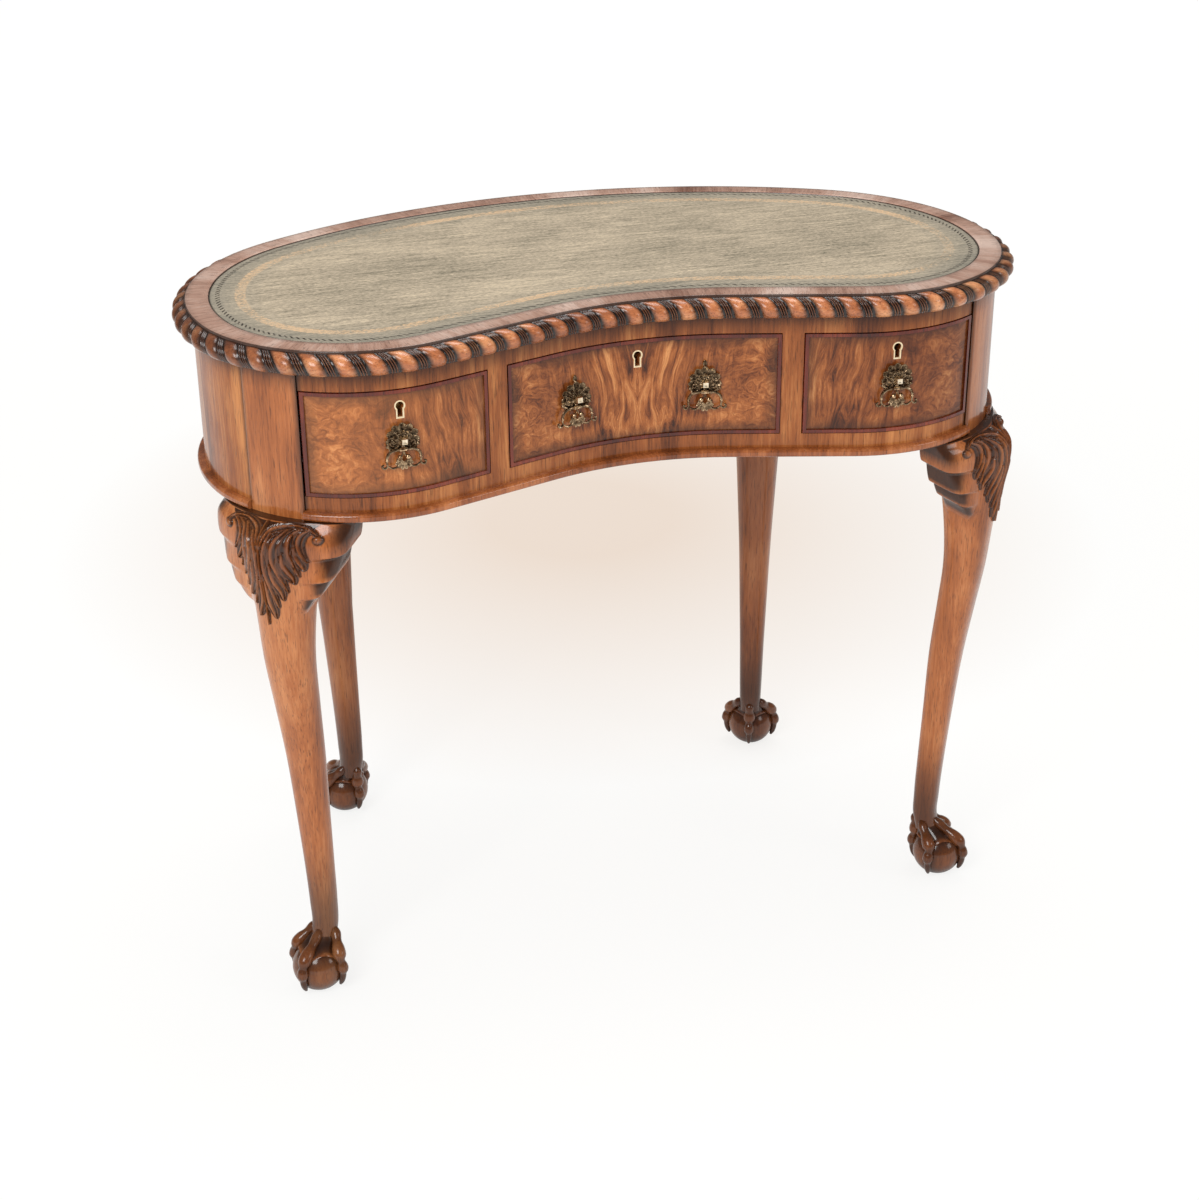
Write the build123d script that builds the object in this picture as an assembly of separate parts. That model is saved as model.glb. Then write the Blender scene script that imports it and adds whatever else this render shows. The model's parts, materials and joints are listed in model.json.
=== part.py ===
"""Kidney shaped writing desk.

A leather topped desk on four cabriole legs. The front is hollow in the middle
and round at both ends, with three drawers behind curved fronts. All sizes are
in millimetres. X runs along the width, Y towards the back, Z up, and the
origin lies on the floor under the middle of the desk.
"""
from build123d import *
import math
import os

# Plan of the top's flat edge: a chain of tangent arcs, the same on both sides
HOLLOW_RADIUS = 319.0
HOLLOW_HALF_ANGLE = 17.5
FLANK_LENGTH = 131.7
LOBE_RADIUS = 168.0
LOBE_TURN = 92.25
END_RADIUS = 230.0
END_TURN = 75.1

# Heights, from the floor up
LEG_HEIGHT = 582.0
BOTTOM_RAIL_HEIGHT = 24.2
OPENING_HEIGHT = 111.8
TOP_RAIL_HEIGHT = 19.8
TOP_THICKNESS = 24.2

# Top: board, border, leather and carved edge moulding
BORDER_WIDTH = 24.5
BORDER_THICKNESS = 3.5
LEATHER_THICKNESS = 3.0
EDGE_PROJECTION = 14.0
EDGE_DROP = 1.5
EDGE_ROUND = 10.5

# Case: inset of its face from the top's edge, and its boards
CASE_INSET = 6.0
PANEL_THICKNESS = 18.0
RAIL_DEPTH = 46.0
CENTRE_OPENING_WIDTH = 295.6
SIDE_OPENING_WIDTH = 190.6
DIVIDER_THICKNESS = 21.4
BASE_BEAD_HEIGHT = 9.0
BASE_BEAD_PROJECTION = 8.0
BASE_BEAD_ROUND = 3.4

# Legs: post in the case, cabriole below it, ball and claw foot
FRONT_LEG_ANGLE = -45.8
REAR_LEG_ANGLE = 65.4
POST_WIDTH = 63.5
POST_PROUD = 3.0
POST_DEPTH = 40.0
KNEE_DEPTH = 77.0
KNEE_WIDTH = 68.0
FRONT_FOOT_INSIDE = 9.0
REAR_FOOT_OUTSIDE = 17.0
BALL_RADIUS = 27.5
CLAW_RADIUS = 7.5
CLAW_RING_RADIUS = 28.5
FOOT_FLAT = 1.0
EAR_LENGTH = 46.0
EAR_HEIGHT = 84.0
EAR_TIP_HEIGHT = 15.0
EAR_THROAT = 44.0
EAR_LAP = 8.0
EAR_THICKNESS = 24.0
EAR_PROUD = 4.0

# Drawers
DRAWER_GAP = 1.0
RUN_CLEARANCE = 0.3
FRONT_THICKNESS = 20.0
FRONT_RECESS = 1.0
BEAD_WIDTH = 3.5
BEAD_PROUD = 2.0
BEAD_DEPTH = 6.0
LINING_THICKNESS = 8.0
LINING_HEIGHT = 98.0
BOTTOM_THICKNESS = 5.0
BOTTOM_RISE = 8.0
SIDE_DRAWER_LENGTH = 290.0
CENTRE_DRAWER_LENGTH = 330.0
RUNNER_OVERLAP = 14.0
RUNNER_HEIGHT = 14.0
STOP_WIDTH = 24.0
STOP_HEIGHT = 6.0
STOP_LENGTH = 12.0

# Screws that hold the top down
SCREW_RADIUS = 2.2
SCREW_HEAD_RADIUS = 4.4
SCREW_HEAD_HEIGHT = 2.4
SCREW_BITE = 12.0

# Locks and keyholes
LOCK_WIDTH = 46.0
LOCK_HEIGHT = 36.0
LOCK_THICKNESS = 10.0
LOCK_TOP_GAP = 2.5
LOCK_INLET = 3.0
BOLT_WIDTH = 18.0
BOLT_THICKNESS = 5.0
BOLT_HEIGHT = 16.0
BOLT_TRAVEL = 7.0
KEYHOLE_DROP = 22.0
KEYHOLE_HEAD_RADIUS = 4.2
KEYHOLE_STEM_WIDTH = 5.4
KEYHOLE_HEIGHT = 16.0
ESCUTCHEON_RIM = 1.4
ESCUTCHEON_THICKNESS = 1.8

# Handles
HANDLE_X_CENTRE_DRAWER = 71.0
HANDLE_DROP = 52.0
PLATE_THICKNESS = 1.8
PLATE_RADIUS = 13.0
PETAL_COUNT = 9
PETAL_RADIUS = 5.6
PETAL_RING = 15.5
STUD_SHANK_RADIUS = 2.4
STUD_NUT_SIZE = 10.5
STUD_NUT_POINT = 5.0
STUD_NUT_TIP = 2.0
STUD_NUT_BASE = 2.5
STUD_STANDOFF = 8.5
BACK_NUT_RADIUS = 5.0
BACK_NUT_THICKNESS = 3.0
PIVOT_DROP = 10.0
PIN_RADIUS = 1.5
PIN_CLEARANCE = 0.05
BARREL_RADIUS = 3.0
BARREL_LENGTH = 8.0
CHEEK_THICKNESS = 2.0
CHEEK_GAP = 0.3
DROP_WIDTH = 44.0
DROP_HEIGHT = 32.0
DROP_RING_HEIGHT = 25.0
DROP_THICKNESS = 4.6
DROP_HOLE_WIDTH = 30.0
DROP_HOLE_HEIGHT = 13.0
DROP_SHELL_RADIUS = 9.0
DROP_NECK_WIDTH = 7.0

# One overrun for every cut, and the leg's sections as shares: height up the
# leg, centre outwards and depth in knee depths, width in knee widths
OVERRUN = 5.0
LEG_SECTION_SHARES = (
    (1.024, -0.084, 0.455, 0.820),
    (1.000, 0.020, 0.690, 0.880),
    (0.974, 0.097, 0.870, 0.956),
    (0.935, 0.130, 0.935, 1.000),
    (0.880, 0.114, 0.812, 0.970),
    (0.828, 0.120, 0.721, 0.904),
    (0.773, 0.116, 0.643, 0.838),
    (0.714, 0.099, 0.588, 0.779),
    (0.627, 0.023, 0.539, 0.699),
    (0.514, -0.080, 0.490, 0.603),
    (0.364, -0.160, 0.421, 0.513),
    (0.258, -0.210, 0.390, 0.456),
    (0.175, -0.238, 0.371, 0.426),
    (0.125, -0.237, 0.357, 0.419),
    (0.080, -0.143, 0.390, 0.441),
)
CORNER_SHARE = 0.30
TOP_SHIFT_END_SHARE = 0.50

CASE_BOTTOM = LEG_HEIGHT
OPENING_BOTTOM = CASE_BOTTOM + BOTTOM_RAIL_HEIGHT
OPENING_TOP = OPENING_BOTTOM + OPENING_HEIGHT
CASE_TOP = OPENING_TOP + TOP_RAIL_HEIGHT
DESK_HEIGHT = CASE_TOP + TOP_THICKNESS
CENTRE_EDGE = CENTRE_OPENING_WIDTH / 2
SIDE_INNER = CENTRE_EDGE + DIVIDER_THICKNESS
SIDE_OUTER = SIDE_INNER + SIDE_OPENING_WIDTH
SIDE_MIDDLE = (SIDE_INNER + SIDE_OUTER) / 2
FRONT_FACE = CASE_INSET + FRONT_RECESS
FRONT_BACK = FRONT_FACE + FRONT_THICKNESS


def polar(centre, radius, degrees):
    """Point at a distance and direction from a centre, in plan."""
    angle = math.radians(degrees)
    return Vector(centre) + Vector(radius * math.cos(angle), radius * math.sin(angle))


def outline_layout():
    """Centres of the arcs, with the depth centred on the X axis."""
    slope = math.radians(HOLLOW_HALF_ANGLE)
    flank_start = (HOLLOW_RADIUS * math.sin(slope), HOLLOW_RADIUS * (math.cos(slope) - 1))
    flank_end = (
        flank_start[0] + FLANK_LENGTH * math.cos(slope),
        flank_start[1] - FLANK_LENGTH * math.sin(slope),
    )
    lobe = (
        flank_end[0] + LOBE_RADIUS * math.sin(slope),
        flank_end[1] + LOBE_RADIUS * math.cos(slope),
    )
    lobe_end = LOBE_TURN - HOLLOW_HALF_ANGLE - 90
    side = polar(lobe, LOBE_RADIUS - END_RADIUS, lobe_end)
    end_angle = lobe_end + END_TURN
    back_radius = polar(side, END_RADIUS, end_angle).X / math.cos(math.radians(end_angle))
    back_y = polar(side, END_RADIUS, end_angle).Y - back_radius * math.sin(math.radians(end_angle))
    shift = -((lobe[1] - LOBE_RADIUS) + (back_y + back_radius)) / 2
    return {
        "hollow": (0, shift - HOLLOW_RADIUS),
        "lobe": (lobe[0], lobe[1] + shift),
        "side": (side.X, side.Y + shift),
        "back": (0, back_y + shift),
        "lobe_start": -90 - HOLLOW_HALF_ANGLE,
        "lobe_end": lobe_end,
        "end_angle": end_angle,
        "back_radius": back_radius,
    }


LAYOUT = outline_layout()
BACK_RADIUS = LAYOUT["back_radius"]
HALF_DEPTH = LOBE_RADIUS - LAYOUT["lobe"][1]


def mirrored(point):
    """The same point on the other side of the middle."""
    return Vector(-point.X, point.Y)


def arc_points(centre, radius, start, end):
    """Start, middle and end of an arc in plan."""
    return [polar(centre, radius, angle) for angle in (start, (start + end) / 2, end)]


def kidney_face(inset):
    """Face inside the outline, moved inwards by an inset."""
    hollow = arc_points(
        LAYOUT["hollow"], HOLLOW_RADIUS + inset, 90 + HOLLOW_HALF_ANGLE, 90 - HOLLOW_HALF_ANGLE
    )
    lobe = arc_points(
        LAYOUT["lobe"], LOBE_RADIUS - inset, LAYOUT["lobe_start"], LAYOUT["lobe_end"]
    )
    side = arc_points(
        LAYOUT["side"], END_RADIUS - inset, LAYOUT["lobe_end"], LAYOUT["end_angle"]
    )
    back = arc_points(
        LAYOUT["back"], BACK_RADIUS - inset, LAYOUT["end_angle"], 180 - LAYOUT["end_angle"]
    )
    edges = [Edge.make_three_point_arc(*hollow), Edge.make_line(hollow[2], lobe[0])]
    edges += [Edge.make_three_point_arc(*points) for points in (lobe, side, back)]
    for points in (side, lobe):
        edges.append(Edge.make_three_point_arc(*[mirrored(point) for point in reversed(points)]))
    edges.append(Edge.make_line(mirrored(lobe[0]), hollow[0]))
    return Face(Wire(edges))


def slab(inset, bottom, top):
    """Kidney shaped board between two heights."""
    return Pos(0, 0, bottom) * extrude(kidney_face(inset), amount=top - bottom)


def band(outer_inset, inner_inset, bottom, top):
    """Kidney shaped ring between two insets and two heights."""
    return slab(outer_inset, bottom, top) - slab(inner_inset, bottom, top)


def block(x_low, x_high, y_low, y_high, bottom, top):
    """Box given by its limits."""
    box = Box(x_high - x_low, y_high - y_low, top - bottom)
    return Pos((x_low + x_high) / 2, (y_low + y_high) / 2, (bottom + top) / 2) * box


def front_block(x_low, x_high, bottom, top):
    """Box over the front half of the plan."""
    return block(x_low, x_high, -HALF_DEPTH - EDGE_PROJECTION - OVERRUN, 0, bottom, top)


def front_y(x, inset):
    """Y of the front outline at some X, moved inwards by an inset."""
    distance = abs(x)
    hollow_end = polar(LAYOUT["hollow"], HOLLOW_RADIUS + inset, 90 - HOLLOW_HALF_ANGLE)
    lobe_start = polar(LAYOUT["lobe"], LOBE_RADIUS - inset, LAYOUT["lobe_start"])
    if distance <= hollow_end.X:
        radius = HOLLOW_RADIUS + inset
        return LAYOUT["hollow"][1] + math.sqrt(radius**2 - distance**2)
    if distance <= lobe_start.X:
        share = (distance - hollow_end.X) / (lobe_start.X - hollow_end.X)
        return hollow_end.Y + share * (lobe_start.Y - hollow_end.Y)
    radius = LOBE_RADIUS - inset
    return LAYOUT["lobe"][1] - math.sqrt(radius**2 - (distance - LAYOUT["lobe"][0]) ** 2)


def front_normal(x):
    """Direction in degrees that the case face looks at some X."""
    distance = abs(x)
    if distance <= polar(LAYOUT["hollow"], HOLLOW_RADIUS, 90 - HOLLOW_HALF_ANGLE).X:
        angle = -90 - math.degrees(math.asin(distance / (HOLLOW_RADIUS + CASE_INSET)))
    elif distance <= polar(LAYOUT["lobe"], LOBE_RADIUS, LAYOUT["lobe_start"]).X:
        angle = LAYOUT["lobe_start"]
    else:
        offset = (distance - LAYOUT["lobe"][0]) / (LOBE_RADIUS - CASE_INSET)
        angle = -90 + math.degrees(math.asin(offset))
    return angle if x >= 0 else -180 - angle


def face_plane(x, z, inset):
    """Plane on the front at some X: its X runs along the desk, its Z outwards."""
    outwards = polar((0, 0), 1, front_normal(x))
    along = Vector(-outwards.Y, outwards.X)
    return Plane(origin=(x, front_y(x, inset), z), x_dir=along, z_dir=outwards)


# Top

def make_top_board():
    return slab(0, CASE_TOP, DESK_HEIGHT - BORDER_THICKNESS)


def make_top_border():
    return band(0, BORDER_WIDTH, DESK_HEIGHT - BORDER_THICKNESS, DESK_HEIGHT)


def make_leather_inset():
    bottom = DESK_HEIGHT - BORDER_THICKNESS
    return slab(BORDER_WIDTH, bottom, bottom + LEATHER_THICKNESS)


def make_edge_moulding():
    """Convex moulding that carries the carved edge."""
    outer = slab(-EDGE_PROJECTION, CASE_TOP, DESK_HEIGHT - EDGE_DROP)
    rims = [
        edge
        for face in (outer.faces().sort_by(Axis.Z)[0], outer.faces().sort_by(Axis.Z)[-1])
        for edge in face.edges()
    ]
    rounded = fillet(rims, EDGE_ROUND)
    return rounded - slab(0, CASE_TOP - OVERRUN, DESK_HEIGHT + OVERRUN)


# Legs

def leg_frame(name):
    """Arc centre, case face radius, direction and foot place of a leg."""
    if name == "front":
        centre = LAYOUT["lobe"]
        radius = LOBE_RADIUS - CASE_INSET
        angle = FRONT_LEG_ANGLE
        foot = radius - FRONT_FOOT_INSIDE
    else:
        centre = LAYOUT["back"]
        radius = BACK_RADIUS - CASE_INSET
        angle = REAR_LEG_ANGLE
        foot = radius + REAR_FOOT_OUTSIDE
    return centre, radius, angle, foot


def wedge(name, spread, bottom, top):
    """Upright wedge over a post, a spread wider on each side."""
    centre, radius, angle, _ = leg_frame(name)
    half = math.degrees((POST_WIDTH / 2 + spread) / radius)
    near = radius - POST_DEPTH - OVERRUN
    far = (radius + KNEE_DEPTH) / math.cos(math.radians(half))
    corners = [
        polar(centre, near, angle - half),
        polar(centre, far, angle - half),
        polar(centre, far, angle + half),
        polar(centre, near, angle + half),
    ]
    return Pos(0, 0, bottom) * extrude(make_face(Polyline(*corners, close=True)), amount=top - bottom)


def make_post(name):
    """Upright part of the leg, which shows between the case's panels."""
    proud = band(CASE_INSET - POST_PROUD, CASE_INSET + POST_DEPTH, CASE_BOTTOM, CASE_TOP)
    post = proud & wedge(name, 0, CASE_BOTTOM, CASE_TOP)
    if name == "rear":
        return post
    flush = band(CASE_INSET, CASE_INSET + POST_DEPTH, CASE_BOTTOM, CASE_TOP)
    post_side = polar(LAYOUT["lobe"], LOBE_RADIUS, FRONT_LEG_ANGLE).X
    strip = front_block(SIDE_OUTER, post_side, CASE_BOTTOM, CASE_TOP)
    reveal = wedge(name, POST_WIDTH, CASE_BOTTOM, CASE_TOP) & strip
    clear = front_block(SIDE_OUTER, post_side + POST_WIDTH, CASE_BOTTOM, CASE_TOP)
    return (post & clear) + (flush & reveal)


def leg_sections(name):
    """Rounded sections up the cabriole, from the post down into the ball."""
    centre, radius, angle, foot = leg_frame(name)
    outwards = polar((0, 0), 1, angle)
    extra = radius - FRONT_FOOT_INSIDE - foot
    sections = []
    for height_share, out_share, depth_share, width_share in LEG_SECTION_SHARES:
        lean = max(height_share - TOP_SHIFT_END_SHARE, 0) / (1 - TOP_SHIFT_END_SHARE)
        place = polar(centre, foot + out_share * KNEE_DEPTH + extra * lean, angle)
        plane = Plane(
            origin=(place.X, place.Y, height_share * LEG_HEIGHT), x_dir=outwards, z_dir=(0, 0, 1)
        )
        depth = depth_share * KNEE_DEPTH
        width = width_share * KNEE_WIDTH
        corner = CORNER_SHARE * min(depth, width)
        sections.append(plane * RectangleRounded(depth, width, corner))
    return sections


def make_foot(name):
    """Ball with four claws round it, cut flat where it stands."""
    centre, _, angle, foot = leg_frame(name)
    place = polar(centre, foot, angle)
    claws = []
    for turn in range(4):
        profile = Plane(origin=(CLAW_RING_RADIUS, 0, 0), z_dir=(0, 0, 1)) * Circle(CLAW_RADIUS)
        claw = revolve(Rot(0, 60, 0) * profile, axis=Axis.Y, revolution_arc=-130)
        claws.append(Rot(0, 0, angle + 90 * turn) * claw)
    whole = Sphere(BALL_RADIUS) + claws
    stand = Pos(place.X, place.Y, BALL_RADIUS - FOOT_FLAT) * whole
    reach = 2 * BALL_RADIUS
    above = block(place.X - reach, place.X + reach, place.Y - reach, place.Y + reach, 0, reach + reach)
    return stand & above


def make_leg(name):
    """Post, cabriole and foot of the right hand leg, in one piece of wood."""
    return make_post(name) + loft(leg_sections(name)) + make_foot(name)


def make_ears(name, leg):
    """Two shaped brackets beside a knee, scribed to the leg."""
    centre, radius, angle, _ = leg_frame(name)
    half = EAR_LENGTH / 2
    ears = []
    for side in (-1, 1):
        turn = side * math.degrees((POST_WIDTH / 2 + half) / radius)
        middle = polar(centre, radius + EAR_PROUD, angle + turn)
        outwards = polar((0, 0), 1, angle + turn)
        away = Vector(-outwards.Y, outwards.X) * side
        plane = Plane(origin=(middle.X, middle.Y, CASE_BOTTOM), x_dir=away, z_dir=outwards * side)
        hollow = ThreePointArc((half, -EAR_TIP_HEIGHT), (0, -EAR_THROAT), (-half, -EAR_HEIGHT))
        rest = Polyline(
            (-half, -EAR_HEIGHT),
            (-half - EAR_LAP, -EAR_HEIGHT),
            (-half - EAR_LAP, 0),
            (half, 0),
            (half, -EAR_TIP_HEIGHT),
        )
        outline = make_face(hollow + rest)
        ears.append(extrude(plane * outline, amount=-EAR_THICKNESS * side) - leg)
    return ears


# Case

def post_wedges():
    """Space of the four posts, cut from what runs between them."""
    right = [wedge(name, 0, CASE_BOTTOM - OVERRUN, CASE_TOP + OVERRUN) for name in ("front", "rear")]
    return right + [mirror(post, about=Plane.YZ) for post in right]


def make_rail(bottom, top):
    """Curved rail across the front, between the front posts."""
    whole = band(CASE_INSET, CASE_INSET + RAIL_DEPTH, bottom, top)
    return whole & front_block(-SIDE_OUTER, SIDE_OUTER, bottom, top)


def make_panels():
    """Left, back and right panel of the case, in that order."""
    whole = band(CASE_INSET, CASE_INSET + PANEL_THICKNESS, CASE_BOTTOM, CASE_TOP)
    post_x = polar(LAYOUT["lobe"], LOBE_RADIUS, FRONT_LEG_ANGLE).X
    front = front_block(-post_x, post_x, CASE_BOTTOM - OVERRUN, CASE_TOP + OVERRUN)
    return (whole - front - post_wedges()).solids().sort_by(Axis.X)


def inside(x_low, x_high, bottom, top, front_inset):
    """Board from front to back inside the case, between two X values."""
    back_inset = CASE_INSET + PANEL_THICKNESS
    reach = HALF_DEPTH + OVERRUN
    front = slab(front_inset, bottom, top) & block(x_low, x_high, -reach, 0, bottom, top)
    back = slab(back_inset, bottom, top) & block(x_low, x_high, 0, reach, bottom, top)
    return front + back


def make_divider():
    """Right hand partition between two drawers, with its front edge on show."""
    return inside(CENTRE_EDGE, SIDE_INNER, OPENING_BOTTOM, OPENING_TOP, CASE_INSET)


def make_slides(bottom, top):
    """Four boards along the drawers' edges, below or above them."""
    rail_back = CASE_INSET + RAIL_DEPTH
    middle = inside(CENTRE_EDGE - RUNNER_OVERLAP, SIDE_INNER + RUNNER_OVERLAP, bottom, top, rail_back)
    outer = inside(SIDE_OUTER - RUNNER_OVERLAP, SIDE_OUTER, bottom, top, rail_back)
    return [middle, outer, mirror(middle, about=Plane.YZ), mirror(outer, about=Plane.YZ)]


def make_base_bead(legs):
    """Half round bead round the foot of the case, stopped at the legs."""
    outer = slab(CASE_INSET - BASE_BEAD_PROJECTION, CASE_BOTTOM, CASE_BOTTOM + BASE_BEAD_HEIGHT)
    rims = [
        edge
        for face in (outer.faces().sort_by(Axis.Z)[0], outer.faces().sort_by(Axis.Z)[-1])
        for edge in face.edges()
    ]
    ring = fillet(rims, BASE_BEAD_ROUND) - slab(CASE_INSET, CASE_BOTTOM - OVERRUN, CASE_TOP)
    return (ring - post_wedges() - legs).solids()


def make_stops():
    """Small blocks on the bottom rail that stop each drawer at its front."""
    start = FRONT_BACK + RUN_CLEARANCE
    top = OPENING_BOTTOM + STOP_HEIGHT
    ring = band(start, start + STOP_LENGTH, OPENING_BOTTOM, top)
    places = [-SIDE_MIDDLE, 0, SIDE_MIDDLE]
    stops = []
    for middle in places:
        for side in (-1, 1):
            x = middle + side * SIDE_OPENING_WIDTH / 4
            stops.append(ring & front_block(x - STOP_WIDTH / 2, x + STOP_WIDTH / 2, OPENING_BOTTOM, top))
    return stops


def make_screws():
    """Screws up through the boards above the drawers into the top."""
    inner_x = (CENTRE_EDGE + SIDE_INNER) / 2
    outer_x = SIDE_OUTER - RUNNER_OVERLAP / 2
    standing = (Align.CENTER, Align.CENTER, Align.MIN)
    shank = Cylinder(SCREW_RADIUS, TOP_RAIL_HEIGHT + SCREW_BITE, align=standing)
    head = Cylinder(SCREW_HEAD_RADIUS, SCREW_HEAD_HEIGHT, align=standing)
    screw = shank + head
    return [
        Pos(x, y, OPENING_TOP) * screw
        for x in (-outer_x, -inner_x, inner_x, outer_x)
        for y in (-HALF_DEPTH / 4, HALF_DEPTH / 4)
    ]


# Drawers

def keyhole_face(rim):
    """Keyhole outline, grown by a rim."""
    head_y = KEYHOLE_HEIGHT / 2 - KEYHOLE_HEAD_RADIUS
    foot_y = -KEYHOLE_HEIGHT / 2 - rim
    head = Pos(0, head_y) * Circle(KEYHOLE_HEAD_RADIUS + rim)
    stem = Pos(0, (head_y + foot_y) / 2) * Rectangle(KEYHOLE_STEM_WIDTH + 2 * rim, head_y - foot_y)
    return head + stem


def prism(plane, face, low, high):
    """Face on a plane, run from one distance to another along its normal."""
    return extrude(plane.offset(low) * face, amount=high - low)


def make_lock(x):
    """Lock case with its channel, the bolt in it, its mortise, and the bed cut for them."""
    top = OPENING_TOP - LOCK_TOP_GAP
    plane = face_plane(x, top, FRONT_BACK - LOCK_INLET)
    body = Pos(0, -LOCK_HEIGHT / 2) * Rectangle(LOCK_WIDTH, LOCK_HEIGHT)
    case = prism(plane, body, -LOCK_THICKNESS, 0)
    middle = -LOCK_THICKNESS / 2
    bolt_face = Pos(0, -BOLT_HEIGHT / 2) * Rectangle(BOLT_WIDTH, BOLT_HEIGHT)
    bolt = prism(plane, bolt_face, middle - BOLT_THICKNESS / 2, middle + BOLT_THICKNESS / 2)
    room = BOLT_THICKNESS / 2 + RUN_CLEARANCE
    channel_height = BOLT_HEIGHT + RUN_CLEARANCE + OVERRUN
    channel_face = Pos(0, OVERRUN - channel_height / 2) * Rectangle(
        BOLT_WIDTH + 2 * RUN_CLEARANCE, channel_height
    )
    channel = prism(plane, channel_face, middle - room, middle + room)
    mortise_height = LOCK_TOP_GAP + BOLT_TRAVEL + DRAWER_GAP
    mortise_face = Pos(0, mortise_height / 2) * Rectangle(
        BOLT_WIDTH + 2 * DRAWER_GAP, mortise_height
    )
    mortise = prism(plane, mortise_face, middle - room - DRAWER_GAP, middle + room + DRAWER_GAP)
    return case - channel, bolt, mortise, case + channel


def make_drawer(x_low, x_high, length, handle_places):
    """All fixed pieces of a drawer, by name, with its lock and handles let in."""
    low = x_low + DRAWER_GAP
    high = x_high - DRAWER_GAP
    middle = (low + high) / 2
    bottom = OPENING_BOTTOM + DRAWER_GAP
    top = OPENING_TOP - DRAWER_GAP
    front_most = min(front_y(x, FRONT_FACE) for x in (low, middle, high))
    back = front_most + length

    front = band(FRONT_FACE, FRONT_BACK, bottom, top) & front_block(low, high, bottom, top)
    face = FRONT_FACE - BEAD_PROUD
    bead_ring = band(face, face + BEAD_PROUD + BEAD_DEPTH, bottom, top)
    inner_low = low + BEAD_WIDTH
    inner_high = high - BEAD_WIDTH
    beads = [
        bead_ring & front_block(low, high, top - BEAD_WIDTH, top),
        bead_ring & front_block(low, high, bottom, bottom + BEAD_WIDTH),
        bead_ring & front_block(low, inner_low, bottom + BEAD_WIDTH, top - BEAD_WIDTH),
        bead_ring & front_block(inner_high, high, bottom + BEAD_WIDTH, top - BEAD_WIDTH),
    ]

    lining_bottom = OPENING_BOTTOM + RUN_CLEARANCE
    lining_top = lining_bottom + LINING_HEIGHT
    behind = slab(FRONT_BACK, lining_bottom, lining_top)
    start = -HALF_DEPTH
    side = block(low, low + LINING_THICKNESS, start, back, lining_bottom, lining_top) & behind
    other = block(high - LINING_THICKNESS, high, start, back, lining_bottom, lining_top) & behind
    floor = OPENING_BOTTOM + BOTTOM_RISE
    inner = (low + LINING_THICKNESS, high - LINING_THICKNESS)
    panel = block(*inner, start, back, floor, floor + BOTTOM_THICKNESS) & behind
    rear = block(*inner, back - LINING_THICKNESS, back, floor + BOTTOM_THICKNESS, lining_top)

    lock_case, bolt, mortise, lock_bed = make_lock(middle)
    key_plane = face_plane(middle, OPENING_TOP - KEYHOLE_DROP, FRONT_FACE)
    inlay = keyhole_face(ESCUTCHEON_RIM)
    escutcheon = prism(key_plane, inlay - keyhole_face(0), -ESCUTCHEON_THICKNESS, 0)
    front = front - beads - lock_bed
    front = front - prism(key_plane, inlay, -ESCUTCHEON_THICKNESS, OVERRUN)
    front = front - prism(key_plane, keyhole_face(0), -FRONT_THICKNESS - OVERRUN, OVERRUN)
    for place in handle_places:
        plane = face_plane(place, OPENING_TOP - HANDLE_DROP, FRONT_FACE)
        hole = Circle(STUD_SHANK_RADIUS)
        front = front - prism(plane, hole, -FRONT_THICKNESS - OVERRUN, OVERRUN)
    return {
        "front": [front],
        "cockbeads": beads,
        "sides": [side, other],
        "back": [rear],
        "bottom": [panel],
        "lock_case": [lock_case],
        "escutcheon": [escutcheon],
        "lock_bolt": [bolt],
    }, mortise


# Handles

def plate_seat(x):
    """Distance that keeps a flat plate's ends off the hollow front."""
    hollow_end = polar(LAYOUT["hollow"], HOLLOW_RADIUS, 90 - HOLLOW_HALF_ANGLE).X
    if abs(x) > hollow_end:
        return 0
    half = PETAL_RING + PETAL_RADIUS
    return half**2 / (2 * (HOLLOW_RADIUS + FRONT_FACE))


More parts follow.
